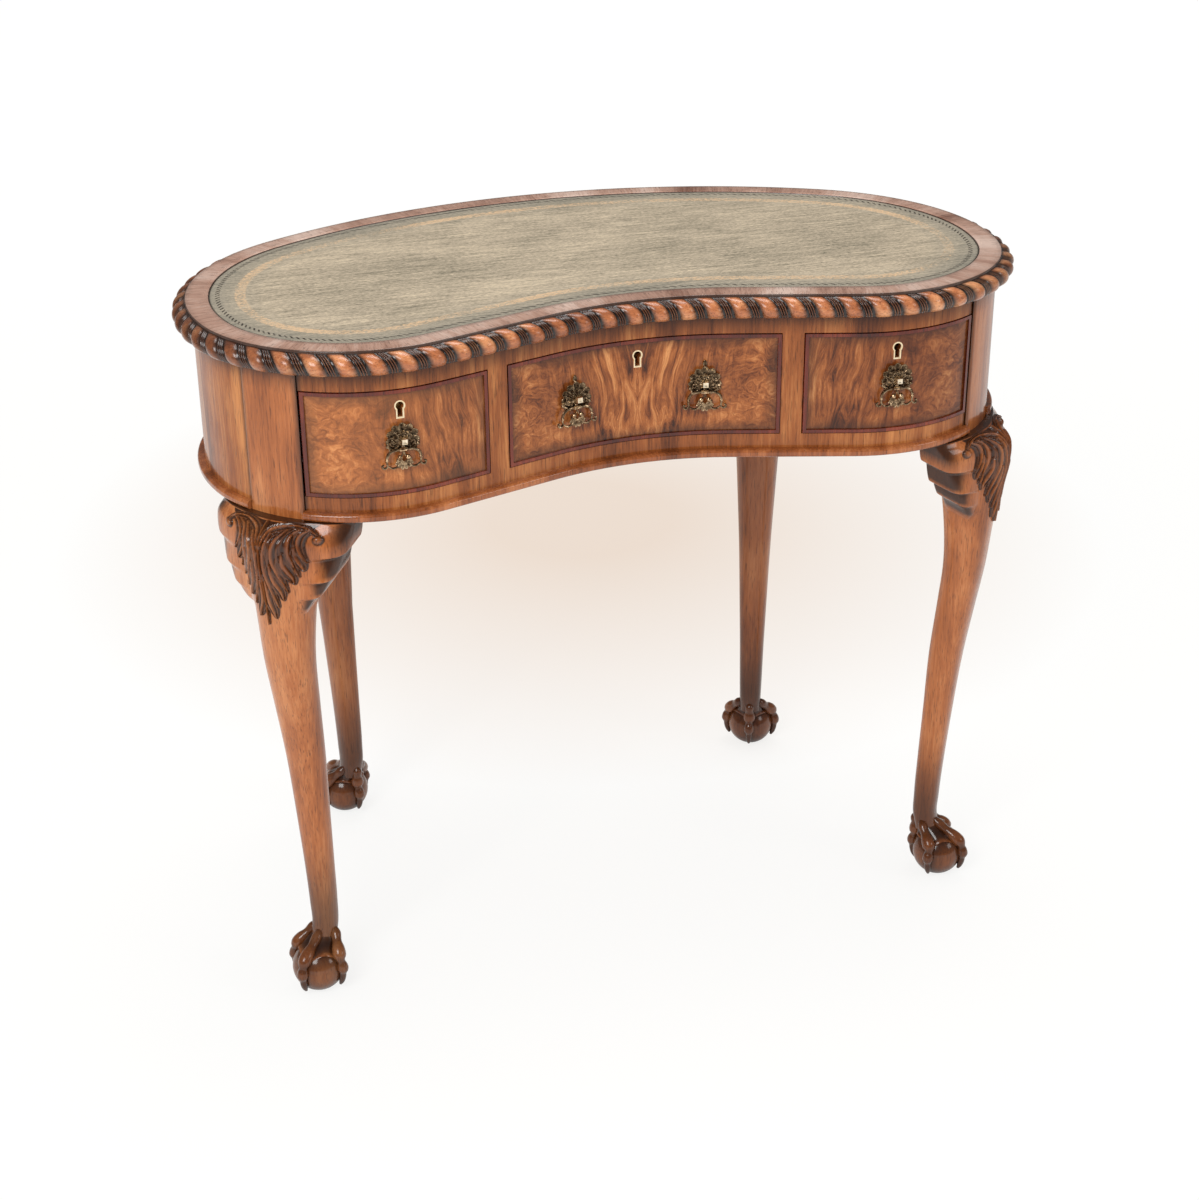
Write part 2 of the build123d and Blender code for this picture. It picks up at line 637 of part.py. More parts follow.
def make_handle(x):
    """Plate with its pivot, the stud through the front, and the drop."""
    plane = face_plane(x, OPENING_TOP - HANDLE_DROP, FRONT_FACE)
    seat = plate_seat(x)
    plate_top = seat + PLATE_THICKNESS
    pin_height = plate_top + BARREL_RADIUS + CHEEK_GAP
    cheek_inner = BARREL_LENGTH / 2 + CHEEK_GAP

    petals = Circle(PLATE_RADIUS)
    for number in range(PETAL_COUNT):
        angle = math.radians(-30 + 240 * number / (PETAL_COUNT - 1))
        petals += Pos(PETAL_RING * math.cos(angle), PETAL_RING * math.sin(angle)) * Circle(PETAL_RADIUS)
    plate = prism(plane, petals, seat, plate_top) - prism(plane, Circle(STUD_SHANK_RADIUS), 0, OVERRUN)
    axle_plane = Plane(
        origin=plane.from_local_coords(Vector(0, -PIVOT_DROP, pin_height)),
        x_dir=plane.z_dir,
        z_dir=plane.x_dir,
    )
    for side in (-1, 1):
        place = side * (cheek_inner + CHEEK_THICKNESS / 2)
        foot = Pos(place, -PIVOT_DROP) * Rectangle(CHEEK_THICKNESS, 2 * BARREL_RADIUS)
        plate += prism(plane, foot, seat, pin_height)
        inner_side = place - CHEEK_THICKNESS / 2
        plate += prism(axle_plane, Circle(BARREL_RADIUS), inner_side, inner_side + CHEEK_THICKNESS)
    pin_reach = cheek_inner + CHEEK_THICKNESS
    plate += prism(axle_plane, Circle(PIN_RADIUS), -pin_reach, pin_reach)

    shank = prism(plane, Circle(STUD_SHANK_RADIUS), -FRONT_THICKNESS - BACK_NUT_THICKNESS, STUD_STANDOFF)
    base = prism(plane, Rectangle(STUD_NUT_SIZE, STUD_NUT_SIZE), STUD_STANDOFF, STUD_STANDOFF + STUD_NUT_BASE)
    nut_taper = math.degrees(math.atan((STUD_NUT_SIZE - STUD_NUT_TIP) / 2 / STUD_NUT_POINT))
    point = extrude(
        plane.offset(STUD_STANDOFF + STUD_NUT_BASE) * Rectangle(STUD_NUT_SIZE, STUD_NUT_SIZE),
        amount=STUD_NUT_POINT,
        taper=nut_taper,
    )
    back_nut = prism(
        plane, Circle(BACK_NUT_RADIUS), -FRONT_THICKNESS - BACK_NUT_THICKNESS, -FRONT_THICKNESS
    )
    stud = shank + base + point + back_nut

    ring_y = -PIVOT_DROP - DROP_HEIGHT / 2
    ring = Pos(0, ring_y) * Ellipse(DROP_WIDTH / 2, DROP_RING_HEIGHT / 2)
    hole = Pos(0, ring_y) * Ellipse(DROP_HOLE_WIDTH / 2, DROP_HOLE_HEIGHT / 2)
    shell = Pos(0, -PIVOT_DROP - DROP_HEIGHT + DROP_SHELL_RADIUS) * Circle(DROP_SHELL_RADIUS)
    neck_top = -PIVOT_DROP
    neck_foot = ring_y + DROP_HOLE_HEIGHT / 2
    neck = Pos(0, (neck_top + neck_foot) / 2) * Rectangle(DROP_NECK_WIDTH, neck_top - neck_foot)
    outline = ring + neck + shell - hole
    drop = prism(plane, outline, pin_height - DROP_THICKNESS / 2, pin_height + DROP_THICKNESS / 2)
    drop += prism(axle_plane, Circle(BARREL_RADIUS), -BARREL_LENGTH / 2, BARREL_LENGTH / 2)
    drop -= prism(axle_plane, Circle(PIN_RADIUS + PIN_CLEARANCE), -BARREL_LENGTH, BARREL_LENGTH)
    return {"plate": [plate], "stud": [stud], "drop": [drop]}


# Assembly

def make_all():
    """Every node's solids by name."""
    nodes = {}
    screws = make_screws()
    nodes["top_board"] = [make_top_board() - screws]
    nodes["top_border"] = [make_top_border()]
    nodes["leather_inset"] = [make_leather_inset()]
    nodes["edge_moulding"] = [make_edge_moulding()]
    nodes["top_screws"] = screws

    legs = []
    for name in ("front", "rear"):
        right = make_leg(name)
        ears = make_ears(name, right)
        nodes[f"leg_{name}_right"] = [right]
        nodes[f"leg_{name}_left"] = [mirror(right, about=Plane.YZ)]
        nodes[f"ears_{name}_right"] = ears
        nodes[f"ears_{name}_left"] = [mirror(ear, about=Plane.YZ) for ear in ears]
        legs += nodes[f"leg_{name}_right"] + nodes[f"leg_{name}_left"]

    for panel_name, panel in zip(("side_panel_left", "back_panel", "side_panel_right"), make_panels()):
        nodes[panel_name] = [panel - legs]
    nodes["bottom_rail"] = [make_rail(CASE_BOTTOM, OPENING_BOTTOM) - legs]
    nodes["divider_right"] = [make_divider()]
    nodes["divider_left"] = [mirror(make_divider(), about=Plane.YZ)]
    nodes["base_bead"] = make_base_bead(legs)
    nodes["drawer_runners"] = make_slides(OPENING_BOTTOM - RUNNER_HEIGHT, OPENING_BOTTOM)
    nodes["drawer_kickers"] = [board - screws for board in make_slides(OPENING_TOP, CASE_TOP)]
    nodes["drawer_stops"] = make_stops()

    drawers = {
        "left": (-SIDE_OUTER, -SIDE_INNER, SIDE_DRAWER_LENGTH, {"left": -SIDE_MIDDLE}),
        "centre": (
            -CENTRE_EDGE,
            CENTRE_EDGE,
            CENTRE_DRAWER_LENGTH,
            {"centre_left": -HANDLE_X_CENTRE_DRAWER, "centre_right": HANDLE_X_CENTRE_DRAWER},
        ),
        "right": (SIDE_INNER, SIDE_OUTER, SIDE_DRAWER_LENGTH, {"right": SIDE_MIDDLE}),
    }
    rail = make_rail(OPENING_TOP, CASE_TOP)
    for name, (low, high, length, handles) in drawers.items():
        pieces, mortise = make_drawer(low, high, length, handles.values())
        rail = rail - mortise
        for piece, solids in pieces.items():
            nodes[f"drawer_{name}_{piece}"] = solids
        for handle, x in handles.items():
            for piece, solids in make_handle(x).items():
                nodes[f"handle_{handle}_{piece}"] = solids
    nodes["top_rail"] = [rail]
    return nodes


if __name__ == "__main__":
    os.makedirs("parts", exist_ok=True)
    for node, solids in make_all().items():
        shapes = [solid for shape in solids for solid in shape.solids()]
        export_step(Compound(children=shapes), f"parts/{node}.step")
        print(node, len(shapes))
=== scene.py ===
# %% [markdown]
# # A kidney shaped desk, dressed for its portrait
#
# The solid model of the desk comes in as a fixed frame: every board, drawer and
# leg already stands in its place, in metres. This lesson gives each of them its
# wood, leather, brass or bone, and works out the carved pieces anew as surfaces.

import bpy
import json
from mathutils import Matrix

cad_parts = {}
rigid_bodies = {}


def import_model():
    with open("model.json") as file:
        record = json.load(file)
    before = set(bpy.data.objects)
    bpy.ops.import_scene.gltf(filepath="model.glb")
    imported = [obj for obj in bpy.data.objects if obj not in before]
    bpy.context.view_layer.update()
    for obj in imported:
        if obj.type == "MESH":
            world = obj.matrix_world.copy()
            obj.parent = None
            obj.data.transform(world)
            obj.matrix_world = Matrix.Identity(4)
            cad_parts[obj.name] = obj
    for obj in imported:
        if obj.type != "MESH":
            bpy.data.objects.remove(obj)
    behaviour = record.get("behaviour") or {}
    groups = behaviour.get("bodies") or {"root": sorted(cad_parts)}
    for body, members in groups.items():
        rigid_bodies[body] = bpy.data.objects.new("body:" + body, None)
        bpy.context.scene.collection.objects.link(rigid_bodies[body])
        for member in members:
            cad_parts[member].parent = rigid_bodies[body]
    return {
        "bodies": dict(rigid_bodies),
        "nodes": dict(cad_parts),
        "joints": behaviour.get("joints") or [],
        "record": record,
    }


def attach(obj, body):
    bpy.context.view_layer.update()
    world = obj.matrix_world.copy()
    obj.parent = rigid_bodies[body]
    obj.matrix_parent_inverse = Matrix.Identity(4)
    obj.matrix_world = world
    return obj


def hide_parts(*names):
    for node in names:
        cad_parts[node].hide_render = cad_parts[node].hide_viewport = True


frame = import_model()
print("frame holds:", sorted(frame))

# %% Tools and first measurements
import json
import math

import bpy
import numpy as np
from mathutils import Matrix, Vector

MM = 0.001
nodes = frame["nodes"]
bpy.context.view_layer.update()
bpy.context.scene.view_settings.view_transform = "Standard"

# %% [markdown]
# ## The camera
#
# The photographer stood to the left of the desk's middle and looked down on it.
# A camera is a place and three directions: right, up and straight ahead. They
# come from three angles, found by laying the plan over the photograph.

# %% Camera
CAMERA_PLACE = (-662.8, -2174.25, 1468.1)
CAMERA_YAW, CAMERA_PITCH, CAMERA_ROLL = (math.radians(a) for a in (17.15, 26.41, -0.48))
FOCAL_PIXELS, PICTURE_PIXELS, SENSOR_WIDTH = 2166.1, 1200, 36.0


def camera_axes(yaw, pitch, roll):
    """Right, up and backward unit vectors: yaw about the vertical, then pitch, then roll."""
    level = math.cos(pitch)
    ahead = np.array([math.sin(yaw) * level, math.cos(yaw) * level, -math.sin(pitch)])
    right = np.array([math.cos(yaw), -math.sin(yaw), 0.0])
    up = np.cross(right, ahead)
    turned = math.cos(roll) * right + math.sin(roll) * up
    return turned, math.cos(roll) * up - math.sin(roll) * right, -ahead


camera = bpy.data.objects.new("portrait_camera", bpy.data.cameras.new("portrait_camera"))
camera.data.sensor_width = SENSOR_WIDTH
camera.data.lens = FOCAL_PIXELS / PICTURE_PIXELS * SENSOR_WIDTH
placed = np.eye(4)
placed[:3, :3] = np.array(camera_axes(CAMERA_YAW, CAMERA_PITCH, CAMERA_ROLL)).T
placed[:3, 3] = np.array(CAMERA_PLACE) * MM
camera.matrix_world = Matrix(placed.tolist())
bpy.context.scene.collection.objects.link(camera)
bpy.context.scene.camera = camera
print("lens:", round(camera.data.lens, 2), "mm")

# %% [markdown]
# ## Wiring materials
#
# Every finish here is a small circuit of nodes. A few helpers keep the wiring
# readable: one adds a node and plugs its inputs, the others name the node kinds
# that come back in every finish.

# %% Helpers for materials
def plug(tree, socket, value):
    """Joins a socket to another one, or writes a plain number or colour into it."""
    if isinstance(value, bpy.types.NodeSocket):
        tree.links.new(value, socket)
    else:
        socket.default_value = value


def add(tree, kind, inputs, out=0, **settings):
    """Adds a node of a kind, with its settings and inputs, and returns one of its outputs."""
    made = tree.nodes.new("ShaderNode" + kind)
    for key, value in settings.items():
        setattr(made, key, value)
    for key, value in inputs.items():
        plug(tree, made.inputs[key], value)
    return made.outputs[out] if len(made.outputs) else made


def maths(tree, operation, first, second=0.0):
    """One sum: the operation on two numbers."""
    return add(tree, "Math", {0: first, 1: second}, operation=operation)


def plus(tree, first, second):
    """Sum of two numbers."""
    return maths(tree, "ADD", first, second)


def minus(tree, first, second):
    """First number less the second."""
    return maths(tree, "SUBTRACT", first, second)


def times(tree, first, second):
    """Product of two numbers."""
    return maths(tree, "MULTIPLY", first, second)


def larger(tree, first, second):
    """Larger of two numbers."""
    return maths(tree, "MAXIMUM", first, second)


def smaller(tree, first, second):
    """Smaller of two numbers."""
    return maths(tree, "MINIMUM", first, second)


def axes_of(tree, vector):
    """The X, Y and Z of coordinates as three numbers."""
    split = tree.nodes.new("ShaderNodeSeparateXYZ")
    tree.links.new(vector, split.inputs[0])
    return split.outputs


def spread(tree, value, low, high, to_low=0.0, to_high=1.0):
    """Stretches a value from one range to another, and stops it at the ends."""
    ends = {"From Min": low, "From Max": high, "To Min": to_low, "To Max": to_high}
    return add(tree, "MapRange", {"Value": value, **ends}, clamp=True)


def noise(tree, vector, scale, detail=4.0, rough=0.55, twist=0.0):
    """Cloudy noise with features about one over scale metres wide."""
    inputs = {"Vector": vector, "Scale": scale, "Detail": detail, "Roughness": rough}
    return add(tree, "TexNoise", {**inputs, "Distortion": twist})


def mix(tree, factor, first, second):
    """Mixes two colours by a factor."""
    made = tree.nodes.new("ShaderNodeMix")
    made.data_type = "RGBA"
    for index, value in ((0, factor), (6, first), (7, second)):
        plug(tree, made.inputs[index], value)
    return made.outputs[2]


def rgba(colour):
    """A colour given as three numbers from 0 to 255, made linear, with full cover."""
    share = np.array(colour, float) / 255
    linear = np.where(share <= 0.04045, share / 12.92, ((share + 0.055) / 1.055) ** 2.4)
    return (*linear.tolist(), 1.0)


def ramp(tree, factor, stops):
    """Colours along a scale: stops are pairs of a place from 0 to 1 and a colour."""
    made = tree.nodes.new("ShaderNodeValToRGB")
    scale = made.color_ramp
    for place, colour in stops[2:]:
        scale.elements.new(place)
    for element, (place, colour) in zip(scale.elements, stops):
        element.position, element.color = place, rgba(colour)
    plug(tree, made.inputs[0], factor)
    return made.outputs[0]


def scaled(tree, vector, scale):
    """Coordinates stretched, so that a pattern runs along one direction."""
    return add(tree, "Mapping", {"Vector": vector, "Scale": scale})


def start_material(name):
    """New material with an empty node tree."""
    material = bpy.data.materials.new(name)
    material.use_nodes = True
    material.node_tree.nodes.clear()
    return material, material.node_tree


UNDER_POLISH = 0.12


def end_material(tree, colour, roughness, height, distance, **inputs):
    """Principled shader with its colour, roughness and bump height, joined to the output."""
    normal = add(tree, "Bump", {"Strength": 1.0, "Distance": distance, "Height": height})
    names = {key.replace("_", " ").title(): value for key, value in inputs.items()}
    if "Coat Weight" in names:
        names["Specular IOR Level"] = UNDER_POLISH
    wired = {"Base Color": colour, "Roughness": roughness, "Normal": normal, **names}
    shader = add(tree, "BsdfPrincipled", wired)
    add(tree, "OutputMaterial", {"Surface": shader})


print("material helpers are ready")

# %% [markdown]
# ## Studio
#
# The desk stands in a white studio: pale floor, pale walls and soft
# lamps overhead. The floor shows itself white to the camera, but still takes a
# soft shadow. Behind the desk a warm patch is painted into the floor's colour and
# glow: painted shade and painted bounce light, as if the wood threw its colour on
# the paper. The surroundings show white in the polish, but dimly, or every edge
# would turn pale.

# %% Floor and surroundings
FLOOR_HALF = 7.0
FLOOR_GLOW_SHARE, FAR_GLOW_SHARE = 0.80, 0.985
GLOW_RISES_OVER = (0.2, 2.6)
BEHIND_DESK, PAINTED_BOUNCE_REACH = (0.27, 0.95, 0.0), (0.15, 0.85)
PAINTED_BOUNCE_FLOOR, PLAIN_FLOOR = (0.66, 0.50, 0.38, 1.0), (0.90, 0.89, 0.88, 1.0)
PAINTED_BOUNCE_GLOW, PLAIN_GLOW = (0.87, 0.76, 0.67, 1.0), (1.0, 1.0, 0.99, 1.0)
FLOOR_GLOW = 1.02
SKY_STRENGTH = 0.62
GLOSS_SHARE = 0.15


def seen_directly(tree):
    """One for rays from the camera or through glass, a share for rays off a gloss, else zero."""
    path = tree.nodes.new("ShaderNodeLightPath")
    gloss = times(tree, path.outputs["Is Glossy Ray"], GLOSS_SHARE)
    seen = larger(tree, path.outputs["Is Camera Ray"], gloss)
    return larger(tree, seen, path.outputs["Is Transmission Ray"])


floor_material, tree = start_material("studio_floor")
spot = tree.nodes.new("ShaderNodeTexCoord").outputs[3]
away = add(tree, "VectorMath", {0: spot}, out=1, operation="LENGTH")
# A warm patch round a spot behind the desk is painted into the floor: painted shade and painted bounce
# light from the wood.
behind = add(tree, "VectorMath", {0: spot, 1: BEHIND_DESK}, out=1, operation="DISTANCE")
clear = spread(tree, behind, *PAINTED_BOUNCE_REACH)
matt = add(tree, "BsdfDiffuse", {"Color": mix(tree, clear, PAINTED_BOUNCE_FLOOR, PLAIN_FLOOR)})
glow = add(tree, "Emission", {"Color": mix(tree, clear, PAINTED_BOUNCE_GLOW, PLAIN_GLOW), "Strength": FLOOR_GLOW})
glow_share = spread(tree, away, *GLOW_RISES_OVER, FLOOR_GLOW_SHARE, FAR_GLOW_SHARE)
share = times(tree, seen_directly(tree), glow_share)
surface = add(tree, "MixShader", {0: share, 1: matt, 2: glow})
add(tree, "OutputMaterial", {"Surface": surface})

corners = [(x * FLOOR_HALF, y * FLOOR_HALF, 0.0) for x, y in ((-1, -1), (1, -1), (1, 1), (-1, 1))]
floor_mesh = bpy.data.meshes.new("floor")
floor_mesh.from_pydata(corners, [], [(0, 1, 2, 3)])
floor_mesh.materials.append(floor_material)
floor = bpy.data.objects.new("floor", floor_mesh)
bpy.context.scene.collection.objects.link(floor)

world = bpy.data.worlds.new("studio")
world.use_nodes = True
bpy.context.scene.world = world
tree = world.node_tree
tree.nodes.clear()
path = tree.nodes.new("ShaderNodeLightPath")
gloss = path.outputs["Is Glossy Ray"]
strength = add(tree, "Mix", {0: seen_directly(tree), 2: SKY_STRENGTH, 3: 1.0})
strength = add(tree, "Mix", {0: gloss, 2: strength, 3: GLOSS_SHARE})
around_it = add(tree, "Background", {"Color": (1.0, 0.985, 0.965, 1.0), "Strength": strength})
add(tree, "OutputWorld", {"Surface": around_it})
print("floor:", 2 * FLOOR_HALF, "m wide")

# %% [markdown]
# ## Lamps
#
# Three square lamps light the desk. The key stands at the front left, higher than
# the camera, a weak one fills the right side, and one overhead lights the leather.
# Because a lamp has size, the shadow that it throws has a soft edge.

# %% Lamps
def lamp(name, place, aim, size, power):
    """Soft square lamp that looks from its place at a point."""
    data = bpy.data.lights.new(name, "AREA")
    data.size, data.energy = size, power
    made = bpy.data.objects.new(name, data)
    made.location = place
    made.rotation_euler = (Vector(aim) - Vector(place)).to_track_quat("-Z", "Y").to_euler()
    bpy.context.scene.collection.objects.link(made)


lamp("key_lamp", (-1.7, -2.1, 2.4), (0.0, -0.1, 0.5), 1.4, 56)
lamp("fill_lamp", (2.2, -2.0, 1.5), (0.0, 0.0, 0.5), 0.9, 9)
lamp("top_lamp", (0.3, 0.4, 2.6), (0.0, 0.0, 0.7), 1.2, 20)

# %% [markdown]
# ## The kidney outline
#
# The plan is a chain of arcs that touch without a corner. Walking round it, the
# way the edge faces turns evenly on each arc. A place on it is the arc's centre
# plus its radius along the facing, and moving out along the facing gives every
# parallel curve: the border, the leather, the carved edge and the case.

# %% Outline of the top's flat edge
HOLLOW_RADIUS, HOLLOW_HALF_ANGLE, FLANK_LENGTH = 319.0, 17.5, 131.7
LOBE_RADIUS, LOBE_TURN, END_RADIUS, END_TURN = 168.0, 92.25, 230.0, 75.1


def facing(degrees):
    """Unit vectors in plan for directions in degrees."""
    angle = np.radians(degrees)
    return np.stack([np.cos(angle), np.sin(angle)], axis=-1)


def chain_of_arcs():
    """Right half as rows: first and last centre, radius, first and last facing, length."""
    slope = -90 - HOLLOW_HALF_ANGLE
    hollow = np.array([0.0, -HOLLOW_RADIUS])
    flank = hollow - HOLLOW_RADIUS * facing(slope)
    flank_end = flank + FLANK_LENGTH * facing(-HOLLOW_HALF_ANGLE)
    lobe = flank_end - LOBE_RADIUS * facing(slope)
    lobe_end = slope + LOBE_TURN
    side = lobe + (LOBE_RADIUS - END_RADIUS) * facing(lobe_end)
    side_end = lobe_end + END_TURN
    corner = side + END_RADIUS * facing(side_end)
    back_radius = corner[0] / facing(side_end)[0]
    back = corner - back_radius * facing(side_end)
    shift = np.array([0.0, -((lobe[1] - LOBE_RADIUS) + (back[1] + back_radius)) / 2])
    rows = ((hollow, hollow, -HOLLOW_RADIUS, -90.0, slope), (flank, flank_end, 0.0, slope, slope),
            (lobe, lobe, LOBE_RADIUS, slope, lobe_end), (side, side, END_RADIUS, lobe_end, side_end),
            (back, back, back_radius, side_end, 90.0))
    return [(one + shift, two + shift, radius, first, last,
             max(abs(radius) * math.radians(abs(last - first)), float(np.hypot(*(two - one)))))
            for one, two, radius, first, last in rows]


ARCS = chain_of_arcs()
STARTS = np.cumsum([0.0] + [arc[-1] for arc in ARCS])
HALF_WAY = STARTS[-1]


def around(along, out, height):
    """Points after walking along the edge from the front's middle, moved out, at a height."""
    along, out, height = np.broadcast_arrays(along, out, height)
    walked = np.mod(along, 2 * HALF_WAY)
    left = walked > HALF_WAY
    right = np.where(left, 2 * HALF_WAY - walked, walked)
    place = np.zeros((*right.shape, 2))
    for (one, two, radius, first, last, length), start in zip(ARCS, STARTS):
        share = np.clip((right - start) / length, 0, 1)[..., None]
        away = facing(first + share[..., 0] * (last - first))
        here = one + share * (two - one) + (radius + out[..., None]) * away
        place = np.where((right >= start)[..., None], here, place)
    place[..., 0] *= np.where(left, -1, 1)
    return np.concatenate([place, height[..., None]], axis=-1)


def way_round(steps):
    """Even steps once round the edge; they start and end at the middle of the back."""
    return np.linspace(-HALF_WAY, HALF_WAY, steps, endpoint=False)


def closed_map(places, quads):
    """Map in metres; a face over the join at the back keeps its corners together."""
    along = places[:quads, 0].reshape(-1, 4)
    over = np.ptp(along, axis=1, keepdims=True) > HALF_WAY
    joined = np.where(over & (along < 0), along + 2 * HALF_WAY, along)
    walked = np.concatenate([joined.ravel(), 0.0 * places[quads:, 0]])
    return np.stack([walked, places[:, 1]], axis=-1) * MM


print("way round the edge:", round(2 * HALF_WAY), "mm; depth of a lobe's centre:", ARCS[2][0].round(1))

# %% [markdown]
# ## Where the legs stand
#
# Each leg stands on a curve parallel to the edge: the front pair on the lobes, the
# rear pair on the long back arc. Its centre, radius and direction come straight
# from the outline. The posts end in dark seams, a half width either side.

# %% Places of the legs
LEGS = {"front": (ARCS[2][0], LOBE_RADIUS - 15, -45.8, 0.0),
        "rear": (ARCS[4][0], ARCS[4][2] + 11, 65.4, 26.0)}
CASE_FACE = {"front": 9.0, "rear": -17.0}
POST_HALF_WIDTH = 31.75


def post_edges():
    """Both edges of each post on the right in plan, in metres, where it meets the case."""
    edges = []
    for name, (centre, radius, angle, _) in LEGS.items():
        case = radius + CASE_FACE[name]
        half = math.degrees(POST_HALF_WIDTH / case)
        edges += [((centre + case * facing(angle + side * half)) * MM).tolist() for side in (-1, 1)]
    return edges


POST_EDGES = post_edges()
print("edges of the posts:", np.round(POST_EDGES, 4).tolist())

# %% [markdown]
# ## Walnut
#
# Walnut shows three things at once: broad warm and cool patches, fine streaks
# along the grain, and short dark pores. Each is a noise, stretched along the
# grain. One function makes every walnut in the desk, so the pieces belong
# together, and each call says which way the grain runs and how dark it is. The
# oak of the drawers' linings is the same pattern in paler tones, without polish.

# %% Walnut
OBJECT_SPACE = 3
EDGE_MAP = "along_the_edge"
UNDER_TOP, PAINTED_SHADE_DEPTH = 0.738, 0.022
SEAM_WIDTHS, CASE_FOOT = (0.0012, 0.0065), (0.586, 0.590)


def place_of(tree, mapped=False):
    """Object coordinates, or the piece's own map for a pattern that follows its edge."""
    if mapped:
        return add(tree, "UVMap", {}, uv_map=EDGE_MAP)
    return add(tree, "TexCoord", {}, out=OBJECT_SPACE)


def grain(tree, vector, stretch):
    """Streaks, fibres and pores of a wood, whose coordinates are squeezed along the grain."""
    along = scaled(tree, vector, stretch)
    streaks = noise(tree, along, 55.0, 6.0, 0.62, 0.35)
    fibres = noise(tree, along, 420.0, 3.0, 0.6)
    pores = spread(tree, noise(tree, along, 900.0, 2.0, 0.5), 0.58, 0.68)
    return streaks, fibres, pores


def stained(tree, colour, dark):
    """Darkens a colour where the piece's shade attribute is low: deep stain in the carving, and painted
    shade.
    """
    shade = add(tree, "Attribute", {}, out=2, attribute_name="shade")
    return mix(tree, spread(tree, shade, 0.0, 1.0), rgba(dark), colour)


def shadow_and_joint_lines(tree, colour):
    """Thin dark lines where the border meets the leather, a joint, and the carved edge, a painted shadow
    line with soft painted shade beside it.
    """
    inwards = axes_of(tree, place_of(tree, mapped=True))["Y"]
    # Near the outer edge a painted shadow line and soft painted shade; at the inner edge the dark joint
    # with the leather.
    outer = spread(tree, inwards, 0.0004, 0.0013, 1.0, 0.0)
    inner = spread(tree, inwards, 0.0236, 0.0243)
    soft = spread(tree, inwards, 0.0, 0.006, 0.35, 0.0)
    lines = larger(tree, larger(tree, outer, inner), soft)
    return mix(tree, times(tree, lines, 0.85), colour, rgba((36, 20, 15)))


def painted_shade_under_top(tree, colour):
    """Painted shade under the carved edge, darkest there and fading down the case."""
    height = axes_of(tree, place_of(tree))["Z"]
    share = spread(tree, height, UNDER_TOP - PAINTED_SHADE_DEPTH, UNDER_TOP, 0.0, 0.72)
    return mix(tree, share, colour, rgba((46, 22, 14)))


def seams(tree, colour):
    """Dark lines where the posts of the legs meet the panels, from the distance to them in plan: a dark
    joint, with painted shade fading out from it.
    """
    axes = axes_of(tree, place_of(tree))
    across = maths(tree, "ABSOLUTE", axes["X"])
    plan = add(tree, "CombineXYZ", {"X": across, "Y": axes["Y"], "Z": 0.0})
    gap = 1.0
    for x, y in POST_EDGES:
        one = add(tree, "VectorMath", {0: plan, 1: (x, y, 0.0)}, out=1, operation="DISTANCE")
        gap = smaller(tree, one, gap)
    dark = times(tree, spread(tree, gap, *SEAM_WIDTHS, 0.80, 0.0), spread(tree, axes["Z"], *CASE_FOOT))
    return mix(tree, dark, colour, rgba((34, 15, 8)))


def painted_shade_at_ends(tree, colour):
    """Painted shade at the two ends of the desk, where the carved edge turns away from the light."""
    across = maths(tree, "ABSOLUTE", axes_of(tree, place_of(tree))["X"])
    return mix(tree, spread(tree, across, 0.33, 0.45, 0.0, 0.62), colour, rgba((44, 24, 15)))


def walnut(name, tones, stretch, mapped=False, carved=None, patch=0.45, polish=0.28, coat=0.5,
           gloss=0.12, shade_and_seams=False, rim_shadow_and_joints=False, shaded_ends=False):
    """Polished walnut: tones are its dark, middle and light colour, carved its deep stain."""
    material, tree = start_material(name)
    vector = place_of(tree, mapped)
    streaks, fibres, pores = grain(tree, vector, stretch)
    half_stretch = tuple(0.4 + 0.6 * share for share in stretch)
    clouds = noise(tree, scaled(tree, vector, half_stretch), 11.0, 3.0, 0.5, 0.6)
    tone = plus(tree, times(tree, clouds, patch), times(tree, streaks, 1.0 - patch))
    fine = times(tree, minus(tree, fibres, 0.5), 0.25)
    colour = ramp(tree, plus(tree, tone, fine), ((0.32, tones[0]), (0.50, tones[1]), (0.66, tones[2])))
    pore_tone = rgba([0.35 * channel for channel in tones[0]])
    colour = mix(tree, times(tree, pores, 0.5), colour, pore_tone)
    if carved:
        colour = stained(tree, colour, carved)
    # Painted shade under the top, and dark seams beside the posts.
    if shade_and_seams:
        colour = seams(tree, painted_shade_under_top(tree, colour))
    if rim_shadow_and_joints:
        colour = shadow_and_joint_lines(tree, colour)
    if shaded_ends:
        colour = painted_shade_at_ends(tree, colour)
    height = minus(tree, times(tree, fibres, 0.35), times(tree, pores, 0.5))
    roughness = spread(tree, streaks, 0.3, 0.7, polish + 0.12, polish)
    end_material(tree, colour, roughness, height, 0.00022, coat_weight=coat, coat_roughness=gloss)
    return material


